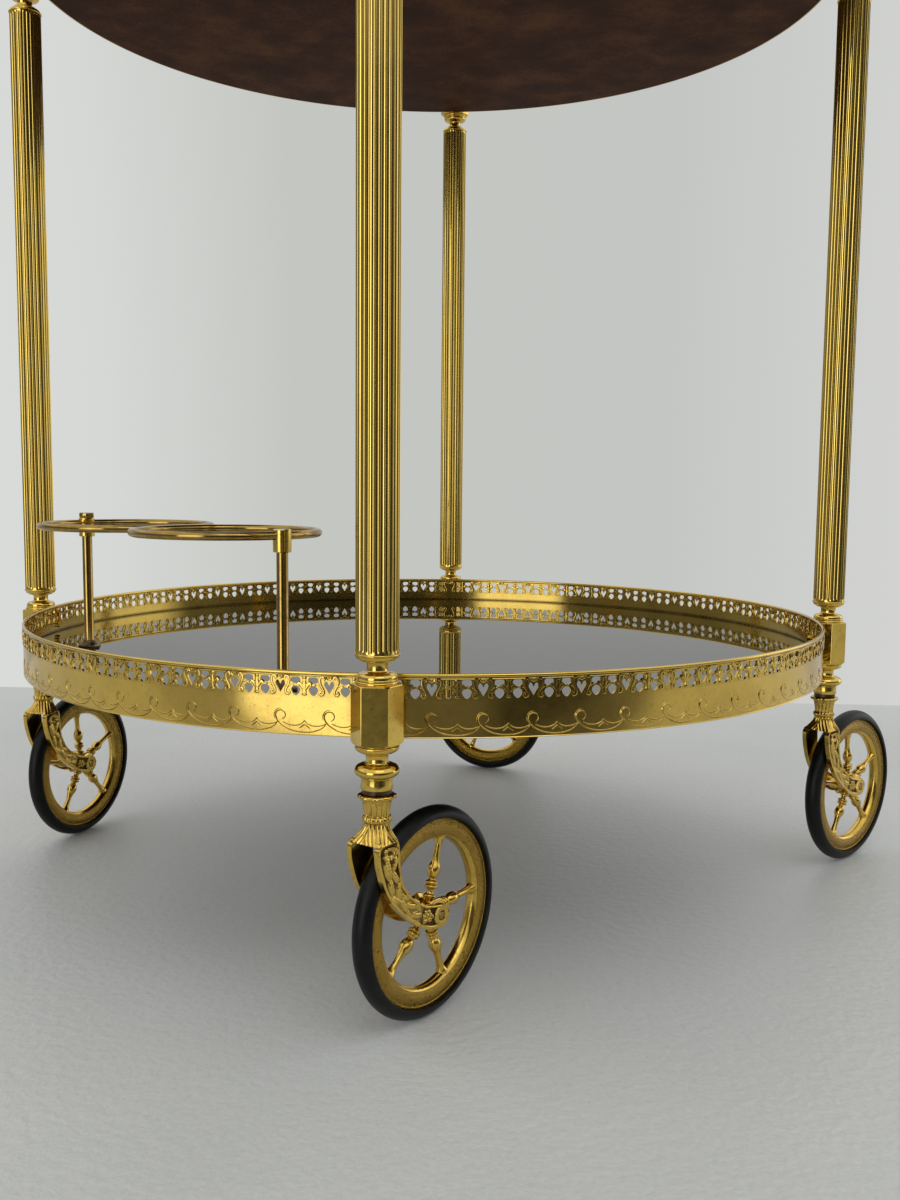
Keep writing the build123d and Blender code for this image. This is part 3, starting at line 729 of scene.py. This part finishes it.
def bead(x, y, width, height, proud=0.45):
    """A small dome with a foot darkened by dirt and painted shade."""
    deselect()
    bpy.ops.mesh.primitive_circle_add(vertices=8, radius=0.5, fill_type="TRIFAN")
    dome = bpy.context.object
    dome.name = "bead"
    darkening = dome.data.attributes.new("hollow", "FLOAT", "POINT")
    for vertex in dome.data.vertices:
        rim = vertex.co.length > 0.1
        darkening.data[vertex.index].value = 0.6 if rim else 0.0
        out = WALL / 2 + (-0.03 if rim else proud)
        vertex.co = ((x + vertex.co.x * width) * MM, -out * MM, (y + vertex.co.y * height) * MM)
    return dome


# %% Ornaments of one unit
half = UNIT_W / 2
strands = [
    ridge("cup", smooth([(-1.5, 27.0), (-1.1, 25.9), (0, 25.3), (1.1, 25.9), (1.5, 27.0)], 1), 0.8),
    bead(0, 26.4, 1.1, 1.1),
    bead(half, 26.1, 2.5, 2.0, 0.5),
    ridge("neck", [(half, y) for y in (25.6, 25.0, 24.3)], 1.9),
    ridge("petal", [(half, y) for y in (24.7, 23.9, 22.9, 21.8, 20.9)], 2.6, 0.6, (0.4, 0.6)),
    ridge("foot", [(half, y) for y in (21.0, 20.2, 19.3)], 2.1, 0.45, (0.7, 1.1)),
    bead(half, 18.6, 3.0, 1.4),
]
scroll = [(2.5, 25.2), (2.0, 25.8), (2.5, 26.6), (3.4, 26.7), (4.2, 25.9), (4.3, 24.5), (3.9, 23.0)]
scroll += [(3.2, 21.8), (2.6, 20.7), (2.4, 19.5), (2.9, 18.6), (3.8, 18.3), (4.5, 19.1), (4.2, 19.9)]
scroll += [(3.5, 19.8)]
leaf = [(3.2, 21.5), (3.9, 22.5), (5.2, 22.85)]
wing = [(0.4, 21.0), (1.0, 21.9), (1.7, 23.0), (2.5, 23.5), (3.1, 23.0), (2.9, 22.3)]
stalk = [(2.4, 22.6), (3.6, 22.5), (4.8, 22.75)]
pairs = (
    ("scroll", scroll, 0, 1.3, 0.42, (0.9, 0.9)),
    ("leaf", leaf, 0, 1.2, 0.34, (0.9, 0.3)),
    ("wing", wing, half, 1.8, 0.5, (0.9, 0.7)),
    ("stalk", stalk, half, 0.9, 0.34, (1.0, 0.7)),
)
for side in (-1, 1):
    for name, points, start, width, proud, ends in pairs:
        line = [(start + side * x, y) for x, y in smooth(points, 1)]
        strands.append(ridge(name, line, width, proud, ends))
    strands.append(bead(half + side * 5.0, 22.8, 1.3, 1.2, 0.45))
stamped = merge("stamped", *strands)
reverse = twin(stamped, Matrix.Diagonal((1, -1, 1, 1)))
reverse.data.flip_normals()
scallop = [(0.9, 6.9), (1.9, 7.6), (2.35, 8.8), (1.9, 10.2), (0.6, 11.0), (-0.9, 10.8), (-2.0, 9.8)]
scallop += [(-2.3, 8.4), (-1.8, 6.8), (-0.6, 5.3), (1.6, 3.7), (4.6, 2.3), (8.0, 1.6), (half, 1.4)]
scallop += [(15.0, 1.7), (18.4, 2.8), (20.6, 4.4), (21.3, 5.6)]
second = [(-2.8, 7.0), (-3.0, 8.6), (-2.5, 10.3), (-1.2, 11.6), (0.4, 11.8)]
short = smooth([(1.1, 5.8), (3.2, 4.8), (6.2, 4.3), (8.8, 4.7), (10.5, 5.6), (half, 6.8)], 2)
chevron = [(2.5, 3.1), (1.2, 4.1), (-0.1, 5.1)]
lines = [
    ridge("long_scallop", smooth(scallop, 2), 0.72, 0.16, (0.6, 0.6), GROOVE),
    ridge("second_line", smooth(second, 2), 0.5, 0.10, (0.3, 0.3), GROOVE),
    ridge("short_scallop_left", short, 0.62, 0.14, (0.7, 0.7), GROOVE),
    ridge("short_scallop_right", [(UNIT_W - x, y) for x, y in short], 0.62, 0.14, (0.7, 0.7), GROOVE),
    ridge("chevron_left", [(half - x, y) for x, y in chevron], 0.65, 0.16, (0.7, 0.9), GROOVE),
    ridge("chevron_right", [(half + x, y) for x, y in chevron], 0.65, 0.16, (0.7, 0.9), GROOVE),
]
unit = merge("unit", plate, stamped, reverse, *lines)
triangles = sum(len(f.vertices) - 2 for f in unit.data.polygons)
print("unit", triangles, "triangles, ring", triangles * UNITS)

# %% Repeat it and roll it into a ring
unit.data.transform(Matrix.Translation((-(UNITS // 2) * UNIT_W * MM, 0, 0)))
strip = unit.modifiers.new("repeat", "ARRAY")
strip.count = UNITS
strip.use_relative_offset = False
strip.use_constant_offset = True
strip.constant_offset_displace = (UNIT_W * MM, 0, 0)
only(unit)
bpy.ops.object.modifier_apply(modifier="repeat")
radius = (GALLERY_R - WALL / 2) * MM
for vertex in unit.data.vertices:
    angle = vertex.co.x / radius - pi / 2
    reach = radius - vertex.co.y
    vertex.co.x, vertex.co.y = reach * cos(angle), reach * sin(angle)
edit(unit)
bpy.ops.mesh.remove_doubles(threshold=0.002 * MM)
bpy.ops.object.mode_set(mode="OBJECT")


def wire_ring(radius, thickness, around, across):
    """A ring of round wire about the origin, in millimetres, with so many steps around and across."""
    deselect()
    bpy.ops.mesh.primitive_torus_add(
        major_radius=radius * MM, minor_radius=thickness / 2 * MM,
        major_segments=around, minor_segments=across,
    )
    bpy.ops.object.shade_smooth()
    return bpy.context.object


ROLLED_RIM = (GALLERY_R - WALL / 2, GALLERY_H - 1.0, 2.0, 12)
RIM_LINE = (GALLERY_R - 0.05, GALLERY_H - 2.35, 0.55, 6)
FOOT_LINE = (GALLERY_R - 0.1, 0.3, 0.6, 6)
hoops = []
for hoop_r, height, thickness, sides in (ROLLED_RIM, RIM_LINE, FOOT_LINE):
    hoops.append(wire_ring(hoop_r, thickness, UNITS * 4, sides))
    lift(hoops[-1], height)
band = merge("band", unit, *hoops)
only(band)
bpy.ops.object.shade_smooth_by_angle(angle=radians(35))
cover(band, sheet_brass)
# Painted shade: the outside of the band is darkened just under the rolled rim.
UNDER_RIM = 27.35
darkening = band.data.attributes["hollow"]
for vertex in band.data.vertices:
    outside = hypot(vertex.co.x, vertex.co.y) > (GALLERY_R - 0.3) * MM
    if outside and abs(vertex.co.z - UNDER_RIM * MM) < 0.35 * MM:
        darkening.data[vertex.index].value = 0.8
print("gallery ring", len(band.data.vertices), "vertices")
for tier, z in TIERS.items():
    place = Matrix.Translation((0, 0, z * MM))
    set_in_place(band, f"{tier}_gallery_pierced", "frame", f"{tier}_gallery", place)
bpy.data.objects.remove(band)

# %% [markdown]
# The shelves are smoked mirror glass with a narrow ground bevel, laid on a dark brown board. The smoke in
# the glass takes about half the light, so the mirror is a dark metal with a smooth face, and the grey comes
# from its colour. A faint mottling shows where the silver has aged.

# %% Mirrors and boards
smoked_mirror, tree, place = start_material("smoked_mirror_glass")
mottle = noise(tree, place, 6, 6.0)
links = {"Base Color": ramp(tree, mottle, [(0.35, "#BBBDB8"), (0.7, "#C1C3BE")])}
links["Roughness"] = span(tree, mottle, 0.35, 0.75, 0.01, 0.03)
finish_material(smoked_mirror, {"Metallic": 1.0, "Specular Tint": (0.6, 0.6, 0.59, 1.0)}, links)
GLASS_R, GLASS_T, BOARD_T = 246.25, 4.0, 7.6
for tier, z in TIERS.items():
    glass = cover(prism(256, GLASS_R, GLASS_T, 0.8, 20), smoked_mirror)
    middle = Matrix.Translation((0, 0, (z + BOARD_T + GLASS_T / 2) * MM))
    put_on_frame(glass, f"{tier}_shelf_glass", f"{tier}_mirror", middle)

brown_board, tree, place = start_material("stained_hardboard")
stain, fibre = noise(tree, place, 40, 8.0, 0.65), noise(tree, place, 1.2, 4.0)
both = add_node(tree, "ShaderNodeMix", {"data_type": "FLOAT", 0: 0.3}, {2: stain, 3: fibre}).outputs[0]
links = {"Base Color": ramp(tree, both, [(0.3, "#240F05"), (0.5, "#3A200E"), (0.7, "#583618")])}
links["Normal"] = bump(tree, fibre, 0.3, 0.3)
finish_material(brown_board, {"Roughness": 0.7, "Specular IOR Level": 0.06}, links)
for tier in TIERS:
    cover(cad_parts[f"{tier}_board"], brown_board)
    cover(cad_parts[f"{tier}_gallery_screws"], turned_brass)
print("shelves dressed")

# %% [markdown]
# A caster is a cast fork that swivels in the leg's foot. Its crown is a small vase wrapped in leaves. It is
# turned first, and then each vertex moves out or in by where it lies on a leaf, because carving is quicker
# as a height than as faces. The two arms are flat castings with a raised border and leaves between: a grid
# is laid between the arm's heel and inner edges, thickened, and raised the same way.

# %% Leaf-wrapped crown and yoke
CROWN_Z, CROWN_H, CROWN_R, YOKE_Z, YOKE_T = 96.3, 17.9, 8.1, 93.3, 3.0
FORK_DROP, ARM_IN, ARM_OUT = 43.3, 6.5, 9.3
SHOULDER_X, SHOULDER_Y, SHOULDER_MID = 7.0, 9.25, -2.34
crown_shares = (
    (0.0, -0.17), (0.5, -0.17), (1.0, -0.17), ((0.86, -0.04), (0.77, 0.07)), ((0.71, 0.17), (0.69, 0.28)),
    (0.74, 0.305), ((0.80, 0.375), (0.74, 0.445)), (0.68, 0.46), ((0.68, 0.57), (0.73, 0.72)),
    ((0.79, 0.82), (0.88, 0.90)), ((1.04, 0.945), (0.95, 0.99)), (0.86, 1.0), (0.0, 1.0),
)
corners = [atan2(b * SHOULDER_Y, SHOULDER_MID + a * SHOULDER_X) for a in (-1, 1) for b in (-1, 1)]


def shoulder(turn):
    """How far the yoke's rounded oblong reaches from the axis at a turn, in millimetres."""
    reach = 0.0
    while True:
        x, y = (reach * cos(turn) - SHOULDER_MID) / SHOULDER_X, reach * sin(turn) / SHOULDER_Y
        if x**8 + y**8 >= 1:
            return reach
        reach += 0.05


def fold(turn, share):
    """How proud the crown's leaves stand at a turn and a share of its height.

    Above the beads are long flutes with round tips, and a lip of larger tips. Below the beads are four leaves
    whose ribs run down to the yoke's corners."""
    if 0.305 <= share <= 0.445:
        return 0.55 * abs(cos(turn * 9)) - 0.35
    if share > 0.46:
        flute = abs(cos(turn * 7))
        tip = max(0.0, (share - 0.74) / 0.10)
        lip = abs(cos(turn * 4 + 0.3)) ** 0.5
        long = 0.75 * flute**0.7 * max(0.0, 1 - tip**2) - 0.45
        return long if share < 0.80 else 0.9 * lip - 0.65 + 0.12 * cos(turn * 24)
    from_corner = min(abs((turn - corner + pi) % tau - pi) for corner in corners) / 0.8
    depth = min(1.0, (0.30 - share) / 0.46)
    ribs = abs(cos(pi * 2.4 * from_corner / (1.15 - 0.55 * depth)))
    return 0.9 * ribs**0.8 - 0.6 - 0.5 * max(0.0, from_corner - 0.85)


crown = turn_on_lathe("crown", cut_line(crown_shares, CROWN_R, CROWN_H, 14), 192, 40)
reaches = {}
for vertex in crown.data.vertices:
    share = vertex.co.z / (CROWN_H * MM)
    turn = atan2(vertex.co.y, vertex.co.x)
    reach = hypot(vertex.co.x, vertex.co.y) / MM
    if reach < 2 or share > 0.992:
        continue
    if share < 0.28:
        key = round(turn, 3)
        reaches[key] = reaches.get(key) or shoulder(turn)
        spread = ((0.28 - share) / 0.45) ** 2.2
        reach = reach * (1 - spread) + (reaches[key] if reach > 5 else 4.0) * spread
    if reach > 4.5:
        reach += fold(turn, share) * min(1.0, (share + 0.17) / 0.03 + 0.35)
    vertex.co.x, vertex.co.y = reach * MM * cos(turn), reach * MM * sin(turn)
lift(crown, CROWN_Z)
stem = turn_on_lathe("stem", [(0, 114.0), (4.0, 114.0), (4.0, 124.2), (3.5, 124.7), (0, 124.7)], 32)
deselect()
bpy.ops.mesh.primitive_cube_add(size=1.0)
yoke = bpy.context.object
size = Matrix.Diagonal((13.6 * MM, 2 * (ARM_OUT - 0.3) * MM, YOKE_T / 2 * MM, 1))
yoke.data.transform(Matrix.Translation((SHOULDER_MID * MM, 0, (YOKE_Z + YOKE_T / 4) * MM)) @ size)
for vertex in yoke.data.vertices:
    if vertex.co.z > (YOKE_Z + 1) * MM:
        vertex.co.x = (vertex.co.x - SHOULDER_MID * MM) * 0.84 + SHOULDER_MID * MM
        vertex.co.y = vertex.co.y * 0.88
yoke = bevelled(0.5, 40)

# %% Curved arms with their relief
heel_shares = (
    (-0.215, 1.0), (-0.255, 0.965), (-0.262, 0.90), (-0.24, 0.78), (-0.145, 0.555), (0.005, 0.363),
    (0.24, 0.166), (0.50, 0.01), (0.75, -0.09),
)
inner_shares = (
    (0.85, 0.15), (0.64, 0.205), (0.375, 0.356), (0.255, 0.48), (0.175, 0.635), (0.14, 0.88), (0.138, 0.95),
    (0.11, 1.0),
)
BOSS_R, BOSS_ROWS, ARM_ROWS, ARM_COLUMNS = 5.5, 14, 180, 34


def evenly(line, count):
    """Points at even steps along a line."""
    steps = [0.0]
    for a, b in zip(line, line[1:]):
        steps.append(steps[-1] + hypot(b[0] - a[0], b[1] - a[1]))
    result = []
    for k in range(count + 1):
        goal = steps[-1] * k / count
        n = max(i for i in range(len(line)) if steps[i] <= goal + 1e-9)
        n = min(n, len(line) - 2)
        share = (goal - steps[n]) / (steps[n + 1] - steps[n])
        result.append(tuple(a + (b - a) * share for a, b in zip(line[n], line[n + 1])))
    return result


heel = [(x * TRAIL, WHEEL_R + z * FORK_DROP) for x, z in heel_shares] + [(TRAIL, WHEEL_R - BOSS_R)]
inner = [(TRAIL, WHEEL_R + BOSS_R)] + [(x * TRAIL, WHEEL_R + z * FORK_DROP) for x, z in inner_shares]
ARM_RUN = ARM_ROWS - BOSS_ROWS
heel, inner = evenly(smooth(heel, 8), ARM_RUN), evenly(list(reversed(smooth(inner, 8))), ARM_RUN)
for k in range(1, BOSS_ROWS + 1):
    swing = pi / 2 * k / BOSS_ROWS
    heel.append((TRAIL + BOSS_R * sin(swing), WHEEL_R - BOSS_R * cos(swing)))
    inner.append((TRAIL + BOSS_R * sin(swing), WHEEL_R + BOSS_R * cos(swing)))
middles = [((a[0] + b[0]) / 2, (a[1] + b[1]) / 2) for a, b in zip(heel, inner)]
run = [0.0]
for a, b in zip(middles, middles[1:]):
    run.append(run[-1] + hypot(b[0] - a[0], b[1] - a[1]))
print("arm runs", round(run[ARM_RUN], 1), "mm to the boss")


def bump_at(distance, width):
    return max(0.0, 1 - (distance / width) ** 2)


def lobe(u, w, place, length, width, lean, height):
    """How proud a leaf is at u along and w across the arm. A middle vein and fine side veins are cut in."""
    du, dw = u - place[0], w - place[1]
    along, across = du * cos(lean) + dw * sin(lean), dw * cos(lean) - du * sin(lean)
    swell = max(0.0, 1 - abs(2 * along / length) ** 2.5 - abs(2 * across / width) ** 2.5) ** 0.6
    veins = 0.25 * exp(-((across / 0.28) ** 2)) + 0.1 * cos(tau * (along / 1.6 - 0.5 * abs(across)))
    return height * swell * (1 - veins)


# A leaf is (along, across, length, width, lean, height) in millimetres, from the rosette down to the flower.
leaves = [
    (11.4, -0.9, 10.5, 3.4, 0.06, 1.05), (10.4, 2.5, 7.5, 2.3, -0.22, 0.8), (17.4, 1.9, 8.0, 2.6, 0.25, 0.85),
    (20.0, -1.3, 8.5, 3.0, -0.10, 1.0), (25.2, 1.3, 9.0, 3.0, -0.30, 0.9), (27.2, -2.0, 8.0, 2.6, 0.30, 0.8),
    (31.6, 2.4, 7.5, 2.5, 0.25, 0.85), (33.4, -0.7, 8.8, 3.1, -0.25, 0.95), (38.6, 1.4, 8.5, 3.0, 0.30, 0.9),
    (39.4, -2.3, 7.5, 2.5, -0.30, 0.8), (44.2, 2.5, 6.5, 2.3, -0.25, 0.8), (45.2, -0.6, 8.0, 2.9, 0.25, 0.95),
]
berries = [(50.6, -0.2), (51.4, 1.6), (51.6, -1.8), (52.9, 0.5), (53.3, -1.0), (53.8, 2.0)]
berries += [(55.2, 0.9), (55.4, -0.9), (56.9, 0.2)]
ROSETTE_U, ROSETTE_W, ROSETTE_R = 4.4, 0.6, 3.0
RELIEF_H, SUNK = 1.4, 0.3


def arm_relief(row, t, x, z):
    """How proud the arm's face is, and how dark with dirt and painted shade."""
    width = hypot(heel[row][0] - inner[row][0], heel[row][1] - inner[row][1])
    w, u = (t - 0.5) * 9.0, run[row]
    from_axle = hypot(x - TRAIL, z - WHEEL_R)
    # Painted shade: round the rivet the boss is sunk and dark, as in a hole.
    if from_axle < BOSS_R - 0.6:
        return 0.95 - 0.4 * (from_axle < 2.3), 0.9 * (from_axle < 2.4)
    from_heel, from_inner = t * width, (1 - t) * width
    heel_border = 0.9 * min(1.0, 1.5 * bump_at(max(0.0, from_heel - 0.9), 1.1))
    inner_border = min(1.0, 1.9 * bump_at(from_inner - 0.65, 0.8))
    field = SUNK + 0.13 * min(1.0, max(0.0, (u - 20.0) / 4.0)) * min(1.0, max(0.0, (50.0 - u) / 3.0))
    for leaf in leaves:
        if abs(u - leaf[0]) < 6.0:
            field = max(field, SUNK + 0.78 * lobe(u, w, leaf[:2], *leaf[2:]))
    for berry in berries:
        dome = max(0.0, 1 - ((u - berry[0]) ** 2 + (w - berry[1]) ** 2) / 1.1) ** 0.5
        field = max(field, SUNK + 0.75 * dome)
    from_rosette = hypot(u - ROSETTE_U, w - ROSETTE_W)
    if from_rosette < ROSETTE_R:
        petals = 0.12 * cos(6 * atan2(w - ROSETTE_W, u - ROSETTE_U))
        disc = 1.0 if from_rosette > 2.3 else 0.7 + petals
        field = max(field, disc if from_rosette > 1.1 else SUNK)
    proud = max(heel_border, inner_border, field)
    # The sunk field between the leaves is darkened: dirt and painted shade.
    return proud, 0.9 * max(0.0, 1 - (proud - SUNK) / 0.25)


deselect()
bpy.ops.mesh.primitive_grid_add(x_subdivisions=ARM_COLUMNS, y_subdivisions=ARM_ROWS, size=1.0)
arm = bpy.context.object
shares = {}
for vertex in arm.data.vertices:
    t, row = vertex.co.x + 0.5, round((vertex.co.y + 0.5) * ARM_ROWS)
    x, z = [a * (1 - t) + b * t for a, b in zip(heel[row], inner[row])]
    shares[vertex.index] = (row, t, x, z)
    vertex.co = (x * MM, ARM_OUT * MM, z * MM)
count = len(arm.data.vertices)
thick = arm.modifiers.new("thickness", "SOLIDIFY")
thick.thickness, thick.offset = (ARM_OUT - ARM_IN) * MM, -1.0
only(arm)
bpy.ops.object.modifier_apply(modifier="thickness")
depths = [vertex.co.y for vertex in arm.data.vertices]
front = 0 if sum(depths[:count]) > sum(depths[count:]) else count
darkening = arm.data.attributes.new("hollow", "FLOAT", "POINT")
for vertex in arm.data.vertices:
    index = vertex.index - front
    if 0 <= index < count:
        proud, dark = arm_relief(*shares[index])
        vertex.co.y = (ARM_OUT - RELIEF_H + RELIEF_H * proud) * MM
        darkening.data[vertex.index].value = dark
    else:
        vertex.co.y = ARM_IN * MM
edit(arm)
arm = leave_edit(60)
other_arm = twin(arm, Matrix.Diagonal((1, -1, 1, 1)))
edit(other_arm)
other_arm = leave_edit(60)
fork = cover(merge("fork", crown, stem, yoke, arm, other_arm), relief_brass)
mark_hollows(fork, 2.4, 2)
at_each_leg(fork, "leafed_fork", "caster_{}", "fork_{}", TRAIL_HEADINGS)


def both_ways(line):
    """An outline that goes back, on the other side of zero, the way it came."""
    return line + [(r, -y) for r, y in reversed(line[:-1])]


rivet_line = both_ways([(0, -9.2), (1.3, -9.2), (1.7, -9.1), (1.9, -8.8), (1.9, 0)])
rivet = cover(turn_on_lathe("rivet", rivet_line, 32, 30, "Y"), bronzed_brass)
mark_hollows(rivet, 3.0, 1)
at_axle = Matrix.Translation((TRAIL * MM, 0, WHEEL_R * MM))
axle_places = {leg: at_axle for leg in LEGS}
at_each_leg(rivet, "axle_rivet", "caster_{}", "axle_{}", TRAIL_HEADINGS, axle_places)

# %% [markdown]
# A wheel is one casting: a broad rim with a punched face, a hub and five turned spokes. The rim and hub are
# spun, one spoke is turned and copied round, and the faces of the rim that look sideways get the punched
# finish. A black rubber tyre sits on the rim.

# %% Spoked wheels
RIM_R, RIM_IN, PUNCHED_FROM = 44.3, 34.3, 36.5
SPOKES, SPOKE_R, SPOKE_FROM, SPOKE_H = 5, 3.15, 4.5, RIM_IN - 3.0
rim_line = [(RIM_R, -3.2), (43.9, -3.5), (43.3, -3.6), (42.9, -3.3), (42.4, -3.35), (41.5, -3.8)]
rim_line += [(40.2, -4.1), (38.8, -4.05), (37.5, -3.75)] + arc((37.5, -3.75), (35.5, -2.7), (34.45, -1.1), 6)
rim_line = both_ways(rim_line + [(RIM_IN, 0.0)]) + [(RIM_R, -3.2)]
rim = turn_on_lathe("rim", rim_line, 128, 35, "Y")
hub_line = [(0, -6.2), (6.9, -6.2), (7.3, -6.0), (7.6, -5.6), (7.3, -5.2), (6.2, -4.9), (5.4, -4.4)]
hub = turn_on_lathe("hub", both_ways(hub_line + [(5.2, -3.4), (5.2, 0)]), 48, 30, "Y")
spoke_shares = (
    (0.0, 0.0), (0.80, 0.0), (0.80, 0.06), ((0.98, 0.085), (0.82, 0.11)), (0.60, 0.125),
    ((0.52, 0.16), (0.60, 0.195)), (0.84, 0.205), ((1.0, 0.228), (0.84, 0.25)), (0.78, 0.258),
    ((0.98, 0.285), (0.80, 0.31)), (0.56, 0.325), ((0.50, 0.342), (0.60, 0.36)), ((1.0, 0.455), (0.70, 0.58)),
    ((0.50, 0.72), (0.54, 0.82)), ((0.64, 0.90), (0.88, 0.955)), (0.92, 1.0), (0.0, 1.0),
)
spoke = turn_on_lathe("spoke", cut_line(spoke_shares, SPOKE_R, SPOKE_H, 7), 28, 30)
lift(spoke, SPOKE_FROM)
spokes = [twin(spoke, Matrix.Rotation(k * tau / SPOKES, 4, "Y")) for k in range(SPOKES)]
bpy.data.objects.remove(spoke)
wheel = cover(merge("wheel", rim, hub, *spokes), relief_brass, stippled_brass)
for face in wheel.data.polygons:
    if abs(face.normal.y) > 0.5 and hypot(face.center.x, face.center.z) > PUNCHED_FROM * MM:
        face.material_index = 1
mark_hollows(wheel)
rolled = {leg: at_axle @ Matrix.Rotation(radians(-roll), 4, "Y") for leg, roll in WHEEL_ROLLS.items()}
at_each_leg(wheel, "spoked_wheel", "roller_{}", "wheel_{}", TRAIL_HEADINGS, rolled)

# %% Rubber tyres
rubber, tree, place = start_material("black_rubber")
tint_stops = [(0.35, "#040504"), (0.55, "#090A09"), (0.8, "#161614")]
links = {"Base Color": ramp(tree, noise(tree, place, 5, 5.0), tint_stops)}
links["Normal"] = bump(tree, noise(tree, place, 0.6, 2.0), 0.25, 0.15)
finish_material(rubber, {"Roughness": 0.42, "Specular IOR Level": 0.22}, links)
tyre_line = [(44.35, -4.6), (44.6, -5.1), (45.2, -5.2)] + arc((45.2, -5.2), (50.0, 0.0), (45.2, 5.2), 16)
tyre_line += [(44.6, 5.1), (44.35, 4.6), (44.35, -4.6)]
tyre = cover(turn_on_lathe("tyre", tyre_line, 128, 40, "Y"), rubber)
at_each_leg(tyre, "rubber_tyre", "roller_{}", "tyre_{}", TRAIL_HEADINGS, rolled)

# %% [markdown]
# The bottle holder stands on the lower shelf: two rings of brass wire on two posts. Each post has a sleeve
# that the wire passes through, and a dark lozenge plate with a small cone at its foot. The left sleeve has
# a cap nut.

# %% Bottle holder
dark_steel = brass("blackened_steel", "#5A4A36", "#1C150E", 0.32, 5, 0.5, 0.6, 0.5)
RING_R, RING_WIRE, RING_Z, GLASS_TOP, NUT_Z = 47.2, 4.2, 222.9, 147.9, 227.6
HOLDER_OUT, AZIMUTH, HEADING = 181.0, radians(225), radians(319)
middle = Vector((HOLDER_OUT * cos(AZIMUTH), HOLDER_OUT * sin(AZIMUTH), 0)) * MM
along = Vector((cos(HEADING), sin(HEADING), 0)) * MM
sleeve_line = [(0, 214.8), (4.2, 214.8), (4.5, 215.1), (4.6, 220.4), (4.5, 225.6), (4.1, 226.1), (0, 226.1)]
post_line = [(0, GLASS_TOP), (3.2, GLASS_TOP), (3.2, 149.5), (2.9, 150.0), (2.9, 218.3), (0, 218.3)]
cone_line = [(0, 149.0), (5.2, 149.0), (4.9, 149.5), (4.2, 150.1), (3.6, 150.8), (3.3, 151.8), (0, 151.8)]
lozenge_size = Matrix.Diagonal((11.8 * MM, 7.5 * MM, 0.8, 1))
for side, sign in (("left", -1), ("right", 1)):
    ring = cover(wire_ring(RING_R, RING_WIRE, 128, 20), bronzed_brass)
    spot = middle + along * sign * (RING_R + RING_WIRE / 2) + Vector((0, 0, RING_Z * MM))
    spot = Matrix.Translation(spot)
    put_on_frame(ring, f"bottle_hoop_{side}", f"bottle_ring_{side}", spot)
    spot = Matrix.Translation(middle + along * sign * (2 * RING_R + RING_WIRE / 2))
    spot = spot @ Matrix.Rotation(HEADING, 4, "Z")
    sleeve = mark_hollows(cover(turn_on_lathe("sleeve", sleeve_line, 48), turned_brass))
    put_on_frame(sleeve, f"wire_sleeve_{side}", f"ring_sleeve_{side}", spot)
    post = mark_hollows(cover(turn_on_lathe("post", post_line, 40), bronzed_brass))
    put_on_frame(post, f"ring_post_{side}", f"holder_post_{side}", spot)
    deselect()
    bpy.ops.mesh.primitive_cylinder_add(vertices=4, radius=1.0, depth=1.6 * MM)
    flat = Matrix.Translation((0, 0, (GLASS_TOP + 0.64) * MM)) @ lozenge_size
    bpy.context.object.data.transform(flat)
    lozenge = bevelled(0.5, 40)
    cone = turn_on_lathe("cone", cone_line, 40)
    base = mark_hollows(cover(merge("base", lozenge, cone), dark_steel))
    put_on_frame(base, f"lozenge_base_{side}", f"post_base_{side}", spot)
    if side == "left":
        nut = cover(prism(6, 4.8, 3.0, 0.5, 40), bronzed_brass)
        lift(nut, NUT_Z)
        put_on_frame(nut, "hex_cap_nut", "holder_cap_nut", spot)
print("bottle holder at", [round(v, 3) for v in middle])

# %% Solids that stay
drawn_steel = brass("drawn_steel", "#8E8C88", "#4A4640", 0.3, 6, 0.3, 0.0, 0.3)
for leg in LEGS:
    cover(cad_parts[f"tie_rod_{leg}"], drawn_steel)
cover(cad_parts["swivel_washers"], dark_steel)
